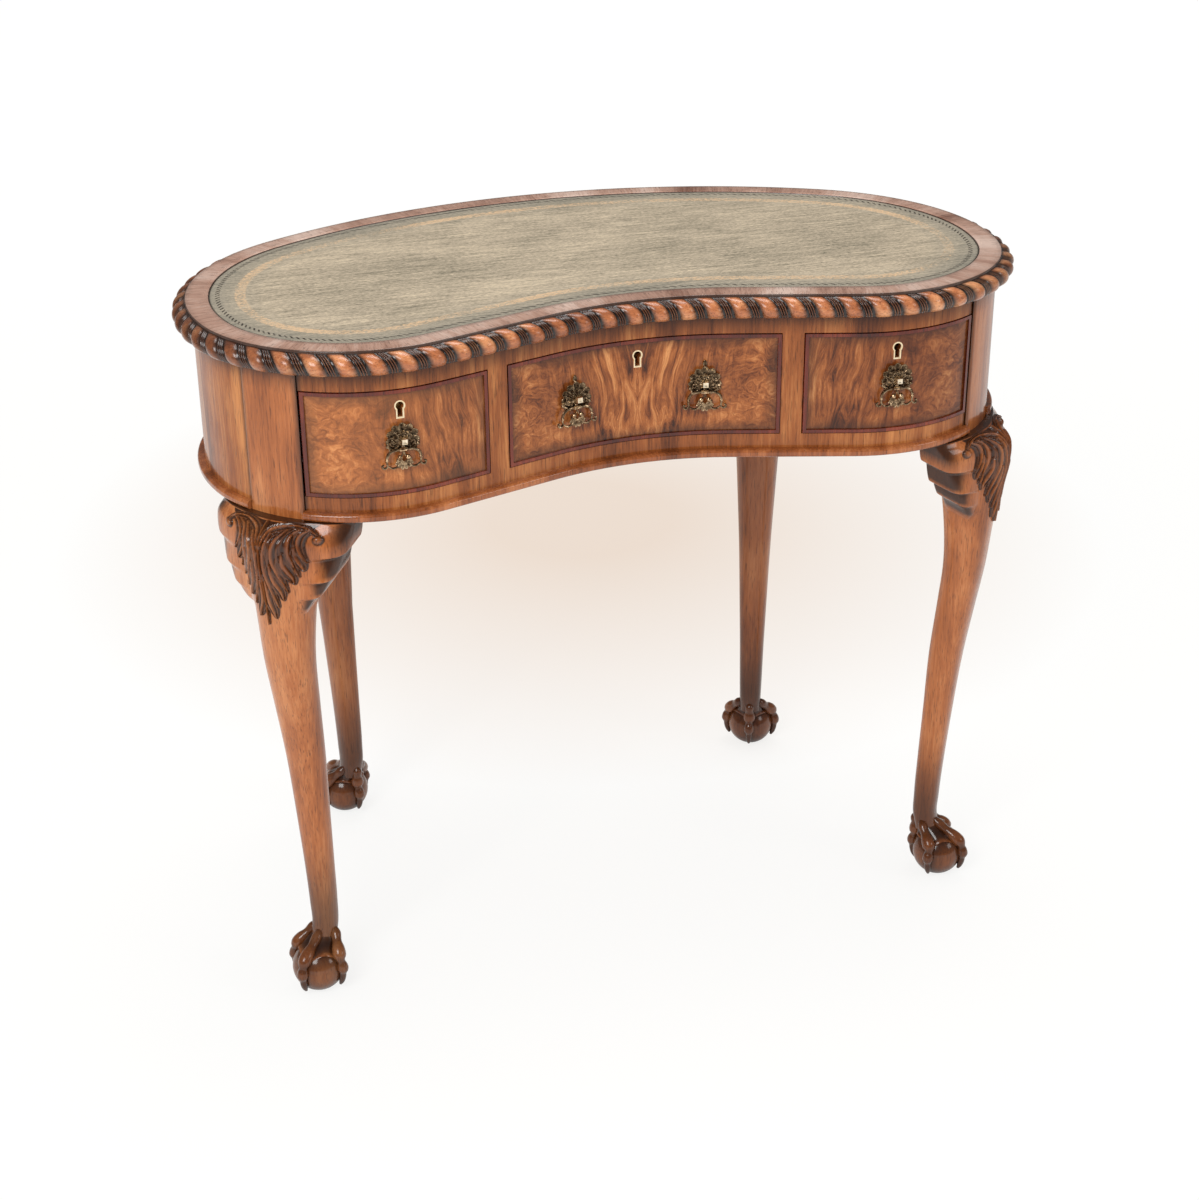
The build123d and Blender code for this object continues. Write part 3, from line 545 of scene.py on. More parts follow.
UPRIGHT, ACROSS_EDGE, LEVEL = (1.0, 1.0, 0.06), (1.0, 0.10, 1.0), (0.06, 1.0, 1.0)
DEEP_STAIN = (38, 18, 9)
OAK_TONES = ((140, 100, 62), (172, 130, 86), (196, 156, 110))
finishes = {
    "walnut": walnut("case_walnut", ((84, 40, 17), (150, 84, 40), (198, 130, 74)), UPRIGHT,
                     shade_and_seams=True),
    "leg_walnut": walnut("leg_walnut", ((110, 54, 23), (170, 98, 50), (204, 134, 82)), UPRIGHT,
                         carved=DEEP_STAIN, patch=0.6, coat=0.8, shade_and_seams=True),
    "carved_walnut": walnut("edge_walnut", ((116, 60, 33), (186, 112, 69), (232, 166, 116)),
                            (0.5, 1.0, 1.0), carved=(24, 13, 8), coat=1.0, gloss=0.24, shaded_ends=True),
    "bead_walnut": walnut("bead_walnut", ((54, 14, 6), (98, 31, 13), (142, 60, 32)), UPRIGHT,
                          polish=0.20, coat=0.9),
    "base_bead": walnut("base_bead_walnut", ((92, 46, 21), (148, 81, 41), (190, 118, 70)), UPRIGHT,
                        polish=0.20, coat=0.9),
    "crossband": walnut("crossband_walnut", ((114, 74, 57), (175, 138, 120), (207, 180, 165)),
                        ACROSS_EDGE, mapped=True, polish=0.26, coat=0.7, patch=0.7, rim_shadow_and_joints=True),
    "walnut_inside": walnut("inside_walnut", ((92, 58, 36), (120, 80, 52), (146, 102, 70)),
                            LEVEL, polish=0.55, coat=0.0),
    "oak_bottom": walnut("bottom_oak", OAK_TONES, (0.08, 1.0, 1.0), polish=0.5, coat=0.0),
    "oak": walnut("lining_oak", OAK_TONES, (0.08, 0.08, 1.0), polish=0.5, coat=0.0),
}
print("woods:", sorted(finishes))

# %% [markdown]
# ## Burr veneer on the drawers
#
# Two sheets cut one after the other are opened like a book, so the figure on the
# left mirrors the one on the right. The distance from the desk's middle does the
# same job here. Upright feathers fill the middle, swirling burr the outer ends,
# and each front darkens towards its edges. Painted shade darkens the right hand
# drawer and painted light brightens the left one.

# %% Burr walnut
DRAWER_MIDDLE_HEIGHT, DRAWER_HALF_HEIGHT = 0.6621, 0.0525
FEATHER_LEAN = 0.14
CENTRE_DRAWER_HALF, SIDE_DRAWER_MIDDLE, SIDE_DRAWER_HALF = 0.1438, 0.2645, 0.0913


def folded(tree, vector):
    """The same coordinates with the two halves of the desk laid on each other."""
    axes = axes_of(tree, vector)
    across = maths(tree, "ABSOLUTE", axes["X"])
    flat = add(tree, "CombineXYZ", {"X": across, "Y": 0.0, "Z": axes["Z"]})
    return flat, across, axes["Z"]


def warped(tree, vector, scale, amount):
    """Coordinates pushed about by a noise, which curls every line drawn on them."""
    cloud = tree.nodes.new("ShaderNodeTexNoise")
    cloud.inputs["Scale"].default_value = scale
    tree.links.new(vector, cloud.inputs["Vector"])
    push = add(tree, "VectorMath", {0: cloud.outputs[1], 1: (0.5, 0.5, 0.5)}, operation="SUBTRACT")
    push = add(tree, "VectorMath", {0: push, 3: amount}, operation="SCALE")
    return add(tree, "VectorMath", {0: vector, 1: push}, operation="ADD")


def front_edge_distance(tree, across, height):
    """Distance in metres from the nearest edge of a drawer front."""
    centre = minus(tree, CENTRE_DRAWER_HALF, across)
    offset = maths(tree, "ABSOLUTE", minus(tree, across, SIDE_DRAWER_MIDDLE))
    side = minus(tree, SIDE_DRAWER_HALF, offset)
    rise = maths(tree, "ABSOLUTE", minus(tree, height, DRAWER_MIDDLE_HEIGHT))
    upright = minus(tree, DRAWER_HALF_HEIGHT, rise)
    return smaller(tree, larger(tree, centre, side), upright)


def burr_walnut():
    """Bookmatched veneer: feathers and burr, mixed by the distance from the middle."""
    material, tree = start_material("burr_walnut")
    flat, across, height = folded(tree, place_of(tree))
    bent = warped(tree, flat, 13.0, 0.026)
    axes = axes_of(tree, bent)
    fanned = minus(tree, axes["X"], times(tree, axes["Z"], FEATHER_LEAN))
    fan = add(tree, "CombineXYZ", {"X": fanned, "Y": 0.0, "Z": axes["Z"]})
    feathers = noise(tree, scaled(tree, fan, (1.0, 1.0, 0.15)), 135.0, 9.0, 0.76, 0.9)
    curled = warped(tree, bent, 42.0, 0.045)
    swirls = noise(tree, scaled(tree, curled, (0.6, 1.0, 1.4)), 50.0, 9.0, 0.72, 2.2)
    outer = minus(tree, spread(tree, across, 0.05, 0.12), spread(tree, across, 0.15, 0.17))
    share = plus(tree, outer, spread(tree, across, 0.235, 0.33))
    figure = add(tree, "Mix", {0: times(tree, share, 0.85), 2: feathers, 3: swirls})
    clouds = noise(tree, bent, 16.0, 2.0, 0.5)
    tone = plus(tree, times(tree, figure, 0.66), times(tree, clouds, 0.34))
    colour = ramp(tree, tone, ((0.385, (50, 22, 9)), (0.455, (118, 61, 27)),
                               (0.535, (166, 97, 49)), (0.635, (218, 150, 92))))
    knots = spread(tree, noise(tree, curled, 30.0, 3.0, 0.5), 0.64, 0.74)
    colour = mix(tree, times(tree, times(tree, knots, share), 0.75), colour, rgba((52, 26, 14)))
    edge = plus(tree, front_edge_distance(tree, across, height),
                times(tree, minus(tree, clouds, 0.5), 0.02))
    colour = mix(tree, spread(tree, edge, 0.0, 0.014, 0.72, 0.0), colour, rgba((48, 27, 17)))
    pores = spread(tree, noise(tree, scaled(tree, bent, (1.0, 1.0, 0.2)), 850.0, 2.0), 0.6, 0.7)
    colour = mix(tree, times(tree, pores, 0.35), colour, rgba((44, 24, 14)))
    right = axes_of(tree, place_of(tree))["X"]
    # Painted shade towards the right hand drawer and painted light on the left one, as the key lamp
    # stands at the left.
    colour = mix(tree, spread(tree, right, 0.10, 0.34, 0.0, 0.34), colour, rgba((92, 42, 18)))
    colour = mix(tree, spread(tree, right, -0.30, -0.12, 0.16, 0.0), colour, rgba((226, 146, 88)))
    end_material(tree, colour, spread(tree, clouds, 0.3, 0.7, 0.34, 0.24), figure, 0.0003,
                 coat_weight=0.55, coat_roughness=0.14)
    return material


finishes["burr_walnut"] = burr_walnut()
print("burr walnut:", len(finishes["burr_walnut"].node_tree.nodes), "nodes")

# %% [markdown]
# ## Leather
#
# Old green hide, faded to an olive grey. Its grain is drawn out along the desk.
# A line of small slanting strokes was pressed blind near the edge, and a band
# of gold leaf runs further in. Most of the gold has worn off, so noise decides
# where it is left. Both bands read the piece's own map: along the edge, and in
# from it.

# %% Leather
BLIND_LINE, STROKE_REPEAT, STROKE_SLANT = (0.0335, 0.0026), 0.0084, 1.3
GOLD_BAND = (0.0565, 0.0062)
SCROLL_SWING, SCROLL_REPEAT, SCROLL_WIDTH = 0.0046, 0.021, 0.0018


def band(tree, inwards, centre, half):
    """One inside a band at a distance from the edge, fading to zero at its sides."""
    off = maths(tree, "ABSOLUTE", minus(tree, inwards, centre))
    return spread(tree, off, half * 0.75, half, 1.0, 0.0)


def scroll_line(tree, along, inwards, swing):
    """A wavy tooled line: its distance from the band's middle swings as a sine of the way round."""
    wave = maths(tree, "SINE", times(tree, along, 2 * math.pi / SCROLL_REPEAT))
    off = minus(tree, minus(tree, inwards, GOLD_BAND[0]), times(tree, wave, swing))
    return spread(tree, maths(tree, "ABSOLUTE", off), SCROLL_WIDTH * 0.5, SCROLL_WIDTH, 1.0, 0.0)


def old_leather():
    """Faded hide with a blind line and a worn gold band."""
    material, tree = start_material("old_leather")
    place = place_of(tree)
    ways = axes_of(tree, place_of(tree, mapped=True))
    along, inwards = ways["X"], ways["Y"]
    creases = noise(tree, scaled(tree, place, (0.07, 1.0, 1.0)), 330.0, 7.0, 0.72, 0.6)
    flecks = noise(tree, scaled(tree, place, (0.30, 1.0, 1.0)), 800.0, 3.0, 0.6)
    clouds = noise(tree, scaled(tree, place, (0.5, 1.0, 1.0)), 9.0, 4.0, 0.55)
    tone = plus(tree, times(tree, creases, 0.42), times(tree, flecks, 0.38))
    tone = plus(tree, tone, times(tree, clouds, 0.20))
    colour = ramp(tree, tone, ((0.37, (92, 88, 74)), (0.45, (144, 133, 113)), (0.52, (178, 163, 141)),
                               (0.61, (214, 196, 166))))
    splits = noise(tree, scaled(tree, place, (0.06, 1.0, 1.0)), 46.0, 7.0, 0.75, 0.8)
    splits = spread(tree, splits, 0.60, 0.70)
    colour = mix(tree, times(tree, splits, 0.45), colour, rgba((70, 60, 50)))
    rim = spread(tree, inwards, 0.026, 0.085, 0.55, 0.0)
    colour = mix(tree, rim, colour, rgba((112, 114, 108)))
    worn = noise(tree, scaled(tree, place, (0.6, 1.0, 1.0)), 420.0, 4.0, 0.75)
    drift = noise(tree, place, 7.0, 2.0)
    left = plus(tree, worn, times(tree, minus(tree, drift, 0.5), 0.5))
    left = plus(tree, left, spread(tree, axes_of(tree, place)["X"], -0.38, -0.20, 0.07, 0.0))
    lines = larger(tree, scroll_line(tree, along, inwards, SCROLL_SWING),
                   scroll_line(tree, along, inwards, -SCROLL_SWING))
    lines = larger(tree, lines, times(tree, band(tree, inwards, *GOLD_BAND), 0.75))
    gold = times(tree, lines, spread(tree, left, 0.46, 0.58))
    colour = mix(tree, times(tree, gold, 0.75), colour, rgba((222, 184, 142)))
    slant = plus(tree, along, times(tree, inwards, STROKE_SLANT))
    strokes = maths(tree, "SINE", times(tree, slant, 2 * math.pi / STROKE_REPEAT))
    pressed = times(tree, spread(tree, strokes, 0.1, 0.5), band(tree, inwards, *BLIND_LINE))
    pressed = times(tree, pressed, spread(tree, worn, 0.36, 0.5))
    colour = mix(tree, times(tree, pressed, 0.95), colour, rgba((50, 42, 36)))
    gap = spread(tree, inwards, 0.0250, 0.0268, 0.9, 0.0)
    colour = mix(tree, gap, colour, rgba((40, 34, 28)))
    height = minus(tree, plus(tree, creases, times(tree, flecks, 0.4)), pressed)
    end_material(tree, colour, spread(tree, tone, 0.3, 0.7, 0.52, 0.42), height, 0.0004,
                 coat_weight=0.12, coat_roughness=0.35)
    return material


finishes["leather"] = old_leather()
print("leather:", len(finishes["leather"].node_tree.nodes), "nodes")

# %% [markdown]
# ## Metals and bone
#
# The handles are cast brass gone brown, bright only where hands rub them. The
# keyholes are lined with cream bone.

# %% Metals and bone
def metal(name, worn, dark, roughness, carved=False, metallic=1.0):
    """Brass or steel: worn and dark tones mixed by a noise, and dark in the hollows."""
    material, tree = start_material(name)
    place = place_of(tree)
    patches = noise(tree, place, 300.0, 4.0, 0.6)
    colour = mix(tree, spread(tree, patches, 0.35, 0.65), rgba(dark), rgba(worn))
    if carved:
        colour = stained(tree, colour, [0.25 * channel for channel in dark])
    rough = spread(tree, patches, 0.3, 0.7, roughness + 0.12, roughness)
    scratches = noise(tree, scaled(tree, place, (1.0, 1.0, 0.2)), 1500.0, 2.0)
    end_material(tree, colour, rough, scratches, 0.00006, metallic=metallic)
    return material


finishes.update({
    "antique_brass": metal("antique_brass", (240, 206, 164), (96, 66, 44), 0.22, carved=True),
    "polished_brass": metal("rubbed_brass", (250, 238, 214), (222, 200, 164), 0.16),
    "lock_brass": metal("lock_brass", (196, 164, 100), (150, 120, 70), 0.35),
    "steel": metal("bright_steel", (168, 166, 162), (120, 118, 116), 0.35),
    "bone": metal("cream_bone", (238, 220, 186), (222, 196, 152), 0.30, metallic=0.0),
})
print("finishes:", sorted(finishes))

# %% [markdown]
# ## Dressing the solid pieces
#
# Each solid piece names its slot in the record, so one loop can hand out the
# finishes. A piece whose own name has a finish takes that one: the bead under the
# case is paler than those round the drawers, and the drawer bottoms run their
# grain from side to side.

# %% Finishes on the solid pieces
for side in ("left", "centre", "right"):
    finishes[f"drawer_{side}_bottom"] = finishes["oak_bottom"]
for row in frame["record"]["subparts"]:
    solid = nodes[row["node"]]
    solid.data.materials.clear()
    solid.data.materials.append(finishes.get(row["node"], finishes[row["material_slot"]]))

# %% [markdown]
# ## Surfaces from formulas
#
# Every carved piece is a grid of points, worked out all at once from two
# parameters: one runs along the piece, the other round it. Neighbouring rows are
# joined by four sided faces. A ring closes on itself both ways, and a tube gets
# a small fan of triangles over each end, so there is never an open seam. A number
# at each point says how dark the finish is there, for the finish to read: deep
# stain in the carving, and painted shade and painted highlights.

# %% Skins over grids of points
def walls(rows, columns, closed):
    """Corners of the faces between neighbouring rows; the columns always run round."""
    index = np.arange(rows * columns).reshape(rows, columns)
    if closed:
        index = np.concatenate([index, index[:1]])
    right = np.roll(index, -1, axis=1)
    return np.stack([index[:-1], right[:-1], right[1:], index[1:]], axis=-1).reshape(-1, 4).tolist()


def points_at(*axes):
    """Points from their coordinates, each given over the whole grid or along one side of it."""
    return np.stack(np.broadcast_arrays(*axes), axis=-1)


def globe(low, high, rows, step):
    """Latitudes between two ends and directions all round in even steps, both in radians."""
    return np.radians(np.linspace(low, high, rows))[:, None], np.radians(np.arange(0, 360, step))[None, :]


def shell(points, faces, shade=1.0):
    """Closed skin: its points in millimetres, its faces and how dark each point is, by stain and by
    painted shade.
    """
    points = points.reshape(-1, 3)
    return {"points": points, "faces": faces, "shade": np.broadcast_to(shade, len(points))}


def ring(grid, shade=None):
    """Closed both ways: rows run round the desk, columns round the profile."""
    return shell(grid, walls(*grid.shape[:2], closed=True), 1.0 if shade is None else shade.ravel())


def tube(grid, shade=None):
    """Skin over rings of points, with a fan to a middle point over both end rings."""
    rows, columns = grid.shape[:2]
    shade = np.ones((rows, columns)) if shade is None else shade
    count = rows * columns
    first, last = np.arange(columns), np.arange(count - columns, count)
    low = np.stack([np.roll(first, -1), first, np.full(columns, count)], axis=-1)
    high = np.stack([last, np.roll(last, -1), np.full(columns, count + 1)], axis=-1)
    points = np.concatenate([grid.reshape(-1, 3), grid[:1].mean(1), grid[-1:].mean(1)])
    return shell(points, walls(rows, columns, closed=False) + low.tolist() + high.tolist(),
                 np.concatenate([shade.ravel(), [shade[0].mean(), shade[-1].mean()]]))


def lid(grid):
    """Skin over rows that each run round the desk, with one flat face over both end rows."""
    rows, columns = grid.shape[:2]
    low, high = np.arange(columns)[::-1], np.arange((rows - 1) * columns, rows * columns)
    return shell(grid, walls(rows, columns, closed=False) + [low.tolist(), high.tolist()])


def volume(part):
    """Signed volume: a sixth of the triple products over each face cut into triangles."""
    total = 0.0
    for size in sorted(set(len(face) for face in part["faces"])):
        corners = part["points"][np.array([face for face in part["faces"] if len(face) == size])]
        cross = np.cross(corners[:, 1:-1], corners[:, 2:])
        total += (corners[:, :1] * cross).sum() / 6
    return total


def moved(part, change):
    """The same shell with its points changed by a function."""
    return {**part, "points": change(part["points"])}


def mirrored(part):
    """The same shell on the other side of the desk's middle."""
    return moved(part, lambda points: points * np.array([-1.0, 1.0, 1.0]))


def make_piece(name, shells, body, slot, replaced, sharp=40.0, places=None):
    """One object from closed shells, with faces outwards, a shade attribute and perhaps a map."""
    points, faces, shade = [], [], []
    start = 0
    for part in shells:
        turned = part["faces"] if volume(part) > 0 else [face[::-1] for face in part["faces"]]
        faces += [[start + corner for corner in face] for face in turned]
        points.append(part["points"])
        shade.append(part["shade"])
        start += len(part["points"])
    mesh = bpy.data.meshes.new(name)
    mesh.from_pydata((np.concatenate(points) * MM).tolist(), [], faces)
    mesh.polygons.foreach_set("use_smooth", [True] * len(faces))
    mesh.set_sharp_from_angle(angle=math.radians(sharp))
    mesh.attributes.new("shade", "FLOAT", "POINT").data.foreach_set("value", np.concatenate(shade))
    if places is not None:
        corner = np.zeros(len(mesh.loops), dtype=np.int32)
        mesh.loops.foreach_get("vertex_index", corner)
        quads = 4 * sum(len(face) == 4 for face in faces)
        layer = mesh.uv_layers.new(name=EDGE_MAP)
        layer.data.foreach_set("uv", closed_map(places[corner], quads).ravel())
    mesh.materials.append(finishes[slot])
    piece = bpy.data.objects.new(name, mesh)
    bpy.context.scene.collection.objects.link(piece)
    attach(piece, body)
    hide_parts(*replaced)
    mesh.calc_loop_triangles()
    print(f"{name}: {len(mesh.loop_triangles)} triangles")


print("skins:", [maker.__name__ for maker in (ring, tube, lid)])

# %% [markdown]
# ## The rope edge
#
# The carver cut slanting lobes all round the top: a broad rounded lobe, then a
# dark hollow with three thin reeds in it. The lobes lean, so the point where
# each stands moves on as the profile turns from the top to the underside.

# %% Gadrooned edge
ROPE_LOBES, LOBE_ROWS, REED_ROWS, ROPE_COLUMNS = 80, 12, 25, 25
ROPE_CENTRE, ROPE_REACH, ROPE_RISE, ROPE_BACK = (2.0, 748.4), 12.0, 11.0, (738.0, 759.4)
ROPE_DEPTH, ROPE_LEAN = 4.0, 0.46
LOBE_SHARE, REEDS, REED_HALF = 0.62, (0.71, 0.80, 0.89), 0.036


def rope_height(turn):
    """One lobe and three thin reeds in each turn, from 0 in a hollow to 1 on the lobe."""
    middle = LOBE_SHARE / 2
    height = (1 - np.clip(np.abs(turn - middle) / middle, 0, 1) ** 2.6) ** 0.8
    for reed in REEDS:
        height = np.maximum(height, 0.42 * (1 - np.clip(np.abs(turn - reed) / REED_HALF, 0, 1) ** 2))
    return height


def rope_edge():
    """Rows follow the lobes round the desk, columns run down the profile and up behind it."""
    turn = np.concatenate([np.linspace(0, LOBE_SHARE, LOBE_ROWS),
                           np.linspace(LOBE_SHARE + 0.015, 0.985, REED_ROWS)])
    lobe = np.arange(ROPE_LOBES)[:, None]
    turn, lobe = (grid.reshape(-1, 1) for grid in np.broadcast_arrays(turn, lobe))
    down = np.linspace(0, 1, ROPE_COLUMNS)[None, :]
    angle = np.radians(100 - 168 * down)
    lean = ROPE_LEAN * np.sin(np.pi / 2 * down ** 0.9)
    along = 2 * HALF_WAY / ROPE_LOBES * (lobe + turn + lean) - HALF_WAY
    height = rope_height(turn)
    fade = np.clip(down / 0.12, 0, 1) * np.clip((1 - down) / 0.10, 0.25, 1)
    sink = ROPE_DEPTH * fade * (1 - height)
    out = ROPE_CENTRE[0] + (ROPE_REACH - sink) * np.cos(angle)
    rise = ROPE_CENTRE[1] + (ROPE_RISE - 0.5 * sink) * np.sin(angle)
    # Dark stain in the hollows; painted shade towards the top of the profile, under the border, and on
    # its underside.
    ends = np.clip(np.minimum(down / 0.10, (1 - down) / 0.06), 0, 1)
    shade = np.clip(height * 1.3 - 0.25, 0, 1) * (0.15 + 0.85 * ends)
    behind = np.zeros((len(along), 1))
    out = np.concatenate([np.maximum(out, 0.0), behind, behind], axis=1)
    rise = np.concatenate([rise, behind + ROPE_BACK[0], behind + ROPE_BACK[1]], axis=1)
    shade = np.concatenate([shade, behind, behind], axis=1)
    along = np.concatenate([along, along[:, -1:], along[:, :1]], axis=1)
    return ring(around(along, out, rise), shade)


make_piece("rope_edge", [rope_edge()], "desk", "carved_walnut", ["edge_moulding"], sharp=75)

# %% [markdown]
# ## Border and leather
#
# The border is a flat ring of veneer with its grain across the edge. The leather
# lies a hair lower inside it, with its rim pressed down. Both carry a map that
# says how far along the edge and how far in each corner is.

# %% Border and leather
TOP_STEPS = 520
BORDER_PROFILE = ((24.5, 758.5), (24.5, 761.6), (24.1, 762.0), (18.0, 762.0), (12.0, 762.0),
                  (6.0, 762.0), (1.0, 762.0), (0.3, 761.7), (0.0, 761.0), (0.0, 758.5))
LEATHER_PROFILE = ((24.6, 758.5), (24.6, 760.5), (25.0, 761.1), (25.8, 761.4), (28.0, 761.5),
                   (38.0, 761.5), (50.0, 761.5), (64.0, 761.5), (80.0, 761.5))

along = way_round(TOP_STEPS)
inwards, height = np.array(BORDER_PROFILE).T
border = ring(around(along[:, None], -inwards, height))
border_places = points_at(along[:, None], inwards).reshape(-1, 2)
make_piece("border_veneer", [border], "desk", "crossband", ["top_border"], sharp=50,
           places=border_places)

inwards, height = np.array(LEATHER_PROFILE).T[..., None]
leather = lid(around(along, -inwards, height))
leather_places = points_at(along, inwards).reshape(-1, 2)
make_piece("leather_skin", [leather], "desk", "leather", ["leather_inset"], sharp=50,
           places=leather_places)

# %% [markdown]
# ## Legs
#
# A cabriole leg is sawn from one block and then carved. Its sections are written
# as shares, as in the solid: the height up the leg, how far the middle stands out
# and how deep it is in knee depths, and its width in knee widths. A smooth curve
# through them gives every height between. At the knee two ears join the block:
# their table holds heights, how far they reach sideways and forwards. Their edge
# is cut in hollow flutes that fall towards the front. The outer ear of a front
# leg is the fuller one.

# %% Sections of a leg
LEG_HEIGHT, KNEE_DEPTH, KNEE_WIDTH = 582.0, 77.0, 68.0
LEG_SHARES = np.array((
    (0.100, -0.190, 0.360, 0.400), (0.125, -0.237, 0.357, 0.405), (0.175, -0.238, 0.371, 0.426),
    (0.258, -0.210, 0.390, 0.456), (0.364, -0.160, 0.421, 0.513), (0.514, -0.080, 0.490, 0.603),
    (0.627, 0.023, 0.539, 0.699), (0.714, 0.099, 0.588, 0.779), (0.773, 0.116, 0.643, 0.838),
    (0.828, 0.120, 0.721, 0.904), (0.880, 0.114, 0.812, 0.970), (0.935, 0.125, 0.925, 1.000),
    (0.974, 0.110, 0.920, 0.980), (1.000, 0.060, 0.860, 0.940))).T
EAR_TABLE = np.array((
    (455.0, 21.0, 16.0), (466.0, 23.0, 20.0), (476.0, 25.5, 24.0), (486.0, 29.0, 27.0),
    (495.0, 34.0, 29.0), (503.0, 40.0, 30.0), (510.0, 46.0, 30.5), (516.0, 51.0, 31.0),
    (524.0, 57.0, 31.0), (534.0, 63.0, 31.0), (545.0, 68.5, 31.0), (556.0, 73.0, 31.0),
    (564.0, 76.0, 30.0), (572.0, 78.0, 27.5), (582.0, 79.0, 20.0), (600.0, 79.0, 14.0))).T
EAR_BACK, SHOULDER, LEDGE, OUTER_EAR = -8.0, 20.0, 15.5, 7.0
FLUTES = ((493.0, 515.0, 4.0), (515.0, 534.0, 6.0), (534.0, 562.0, 7.0), (562.0, 596.0, 3.0))
FLUTE_FALL, REAR_PAINTED_SHADE = 0.34, 0.28


def smooth(at, knots, values):
    """Cubic curve through the values whose slope at each knot is that of its neighbours."""
    slopes = np.gradient(values, knots)
    cell = np.clip(np.searchsorted(knots, at, side="right") - 1, 0, len(knots) - 2)
    gap = knots[cell + 1] - knots[cell]
    share = np.clip((at - knots[cell]) / gap, 0, 1)
    rest = 1 - share
    return (values[cell] * (1 + 2 * share) * rest ** 2 + values[cell + 1] * (3 - 2 * share) * share ** 2
            + gap * share * rest * (slopes[cell] * rest - slopes[cell + 1] * share))


def eased(value, low, high):
    """Soft step from 0 to 1 between two values."""
    share = np.clip((value - low) / (high - low), 0, 1)
    return share ** 2 * (3 - 2 * share)


def swelling(across, half, reach, power):
    """Half of a rounded section: the reach in the middle, nothing from the half width on."""
    return reach * (1 - np.clip(np.abs(across) / half, 0, 1) ** power) ** (1 / power)


def blended(one, two, softness):
    """Larger of two heights, with the corner where they cross rounded."""
    overlap = np.clip(softness - np.abs(one - two), 0, None) / softness
    return np.maximum(one, two) + overlap ** 2 * softness / 4


def flute(height):
    """Depth of the hollow flutes: each steps in just under its ridge and runs out at the next."""
    cut = np.zeros_like(height)
    for low, high, depth in FLUTES:
        share = np.clip((high - height) / (high - low), 0, 1)
        cut += depth * eased(share, 0.0, 0.30) * (1 - share)
    return cut


def section_shares(sides, middle):
    """Shares of the half width from 1 to -1, even along a boxy section and its two sides."""
    level = np.linspace(0, 0.92, sides, endpoint=False)
    edge = (1 - level ** 8) ** 0.125
    half = np.concatenate([edge, np.linspace((1 - 0.92 ** 8) ** 0.125, 0, middle)])
    return np.concatenate([half, -half[-2::-1]])


def leg_skin(lean):
    """Across, outwards and height of every point from the ankle to the shoulder."""
    rise = np.sin(np.radians(np.linspace(3, 90, 30)))
    low = LEG_HEIGHT - SHOULDER
    height = np.concatenate([np.arange(56, 100, 4.0), np.arange(100, 462, 10.0),
                             np.arange(462, low, 0.85), low + SHOULDER * rise])[:, None]
    middle, depth, width = (smooth(height / LEG_HEIGHT, LEG_SHARES[0], row) for row in LEG_SHARES[1:])
    front = (middle + depth / 2) * KNEE_DEPTH
    back = (middle - depth / 2) * KNEE_DEPTH
    core = width * KNEE_WIDTH / 2
    rounded = np.sqrt(1 - np.clip((height - low) / SHOULDER, 0, 1) ** 2)
    front = np.where(height > low, LEDGE + (front - LEDGE) * rounded, front)
    middle = (front + back) / 2
    middle = middle + (EAR_BACK + 6 - middle) * eased(height, 480, 545)
    has_ear = eased(height, 462, 490)
    ear_front = smooth(height, EAR_TABLE[0], EAR_TABLE[2])

    face, rear = section_shares(26, 104), section_shares(5, 14)[1:-1]
    share = np.concatenate([face, -rear])[None, :]
    outer = (np.arange(share.size) < face.size)[None, :]
    fuller = (lean == 0) * (share > 0) * eased(height, 468, 500) * (1 - eased(height, 566, 584))
    level = np.zeros(np.broadcast_shapes(height.shape, share.shape))
    for _ in range(3):
        at = np.clip(height + FLUTE_FALL * (middle + level - EAR_BACK), 0, 599)
        cut = flute(at) * (1 - 0.55 * fuller)
        ear = smooth(at, EAR_TABLE[0], EAR_TABLE[1]) - cut + OUTER_EAR * fuller
        half = core + np.clip(ear - core, 0, None) * has_ear
        across = half * share
        dished = 1 - 0.05 * cut * eased(np.abs(share), 0.45, 1.0)
        reach = np.clip(ear_front - middle, 0, None) * has_ear * dished
        bulge = blended(swelling(across, core, front - middle, 2.4),
                        swelling(across, half, reach, 8.0), 7.0 * has_ear + 0.01)
        behind = np.maximum(swelling(across, core, middle - back, 2.4),
                            swelling(across, half, (middle - EAR_BACK) * has_ear, 8.0))
        level = np.where(outer, bulge, -behind)
    # The flutes on the ear's edge are darkened: stain in their hollows, and painted shade.
    side = eased(np.abs(share) + 0.030 * cut, 0.80, 1.0) * has_ear * eased(half - core, 0.0, 4.0)
    shade = 1 - side * (0.10 + 0.82 * np.clip(cut / 1.3, 0, 1))
    # Darker towards the foot, and a painted shadow line along the top of the knee, under the post.
    shade = shade * (1 - 0.74 * eased(-height, -205, -80)) * (1 - 0.92 * eased(height, 581.0, 581.6))
    # Painted shade on the rear legs, which stand away from the key lamp.
    shade = shade * (1 - REAR_PAINTED_SHADE * (lean > 0))
    out = middle + level - lean * np.clip(height / LEG_HEIGHT - 0.5, 0, None) / 0.5
    return across, out, np.broadcast_to(height, across.shape), shade, eased(height, 420, 490), outer


print("leg:", LEG_SHARES.shape[1], "sections,", len(FLUTES), "flutes on each ear")

# %% [markdown]
# ## Leaves on the knees
#
# The acanthus leaf is drawn as plumes: each is a line that starts high on the
# knee and falls beside the stem to a tip at the leaf's edge. Its height falls off
# with the distance from that line. The distances are measured on the knee's own
# face, across it and down along it, and the left half repeats the right. The
# highest plume wins at each point, and the grooves and the ground between the
# plumes are left dark. Displacing a picture could do the same, but a formula
# gives clean ridges and real geometry.

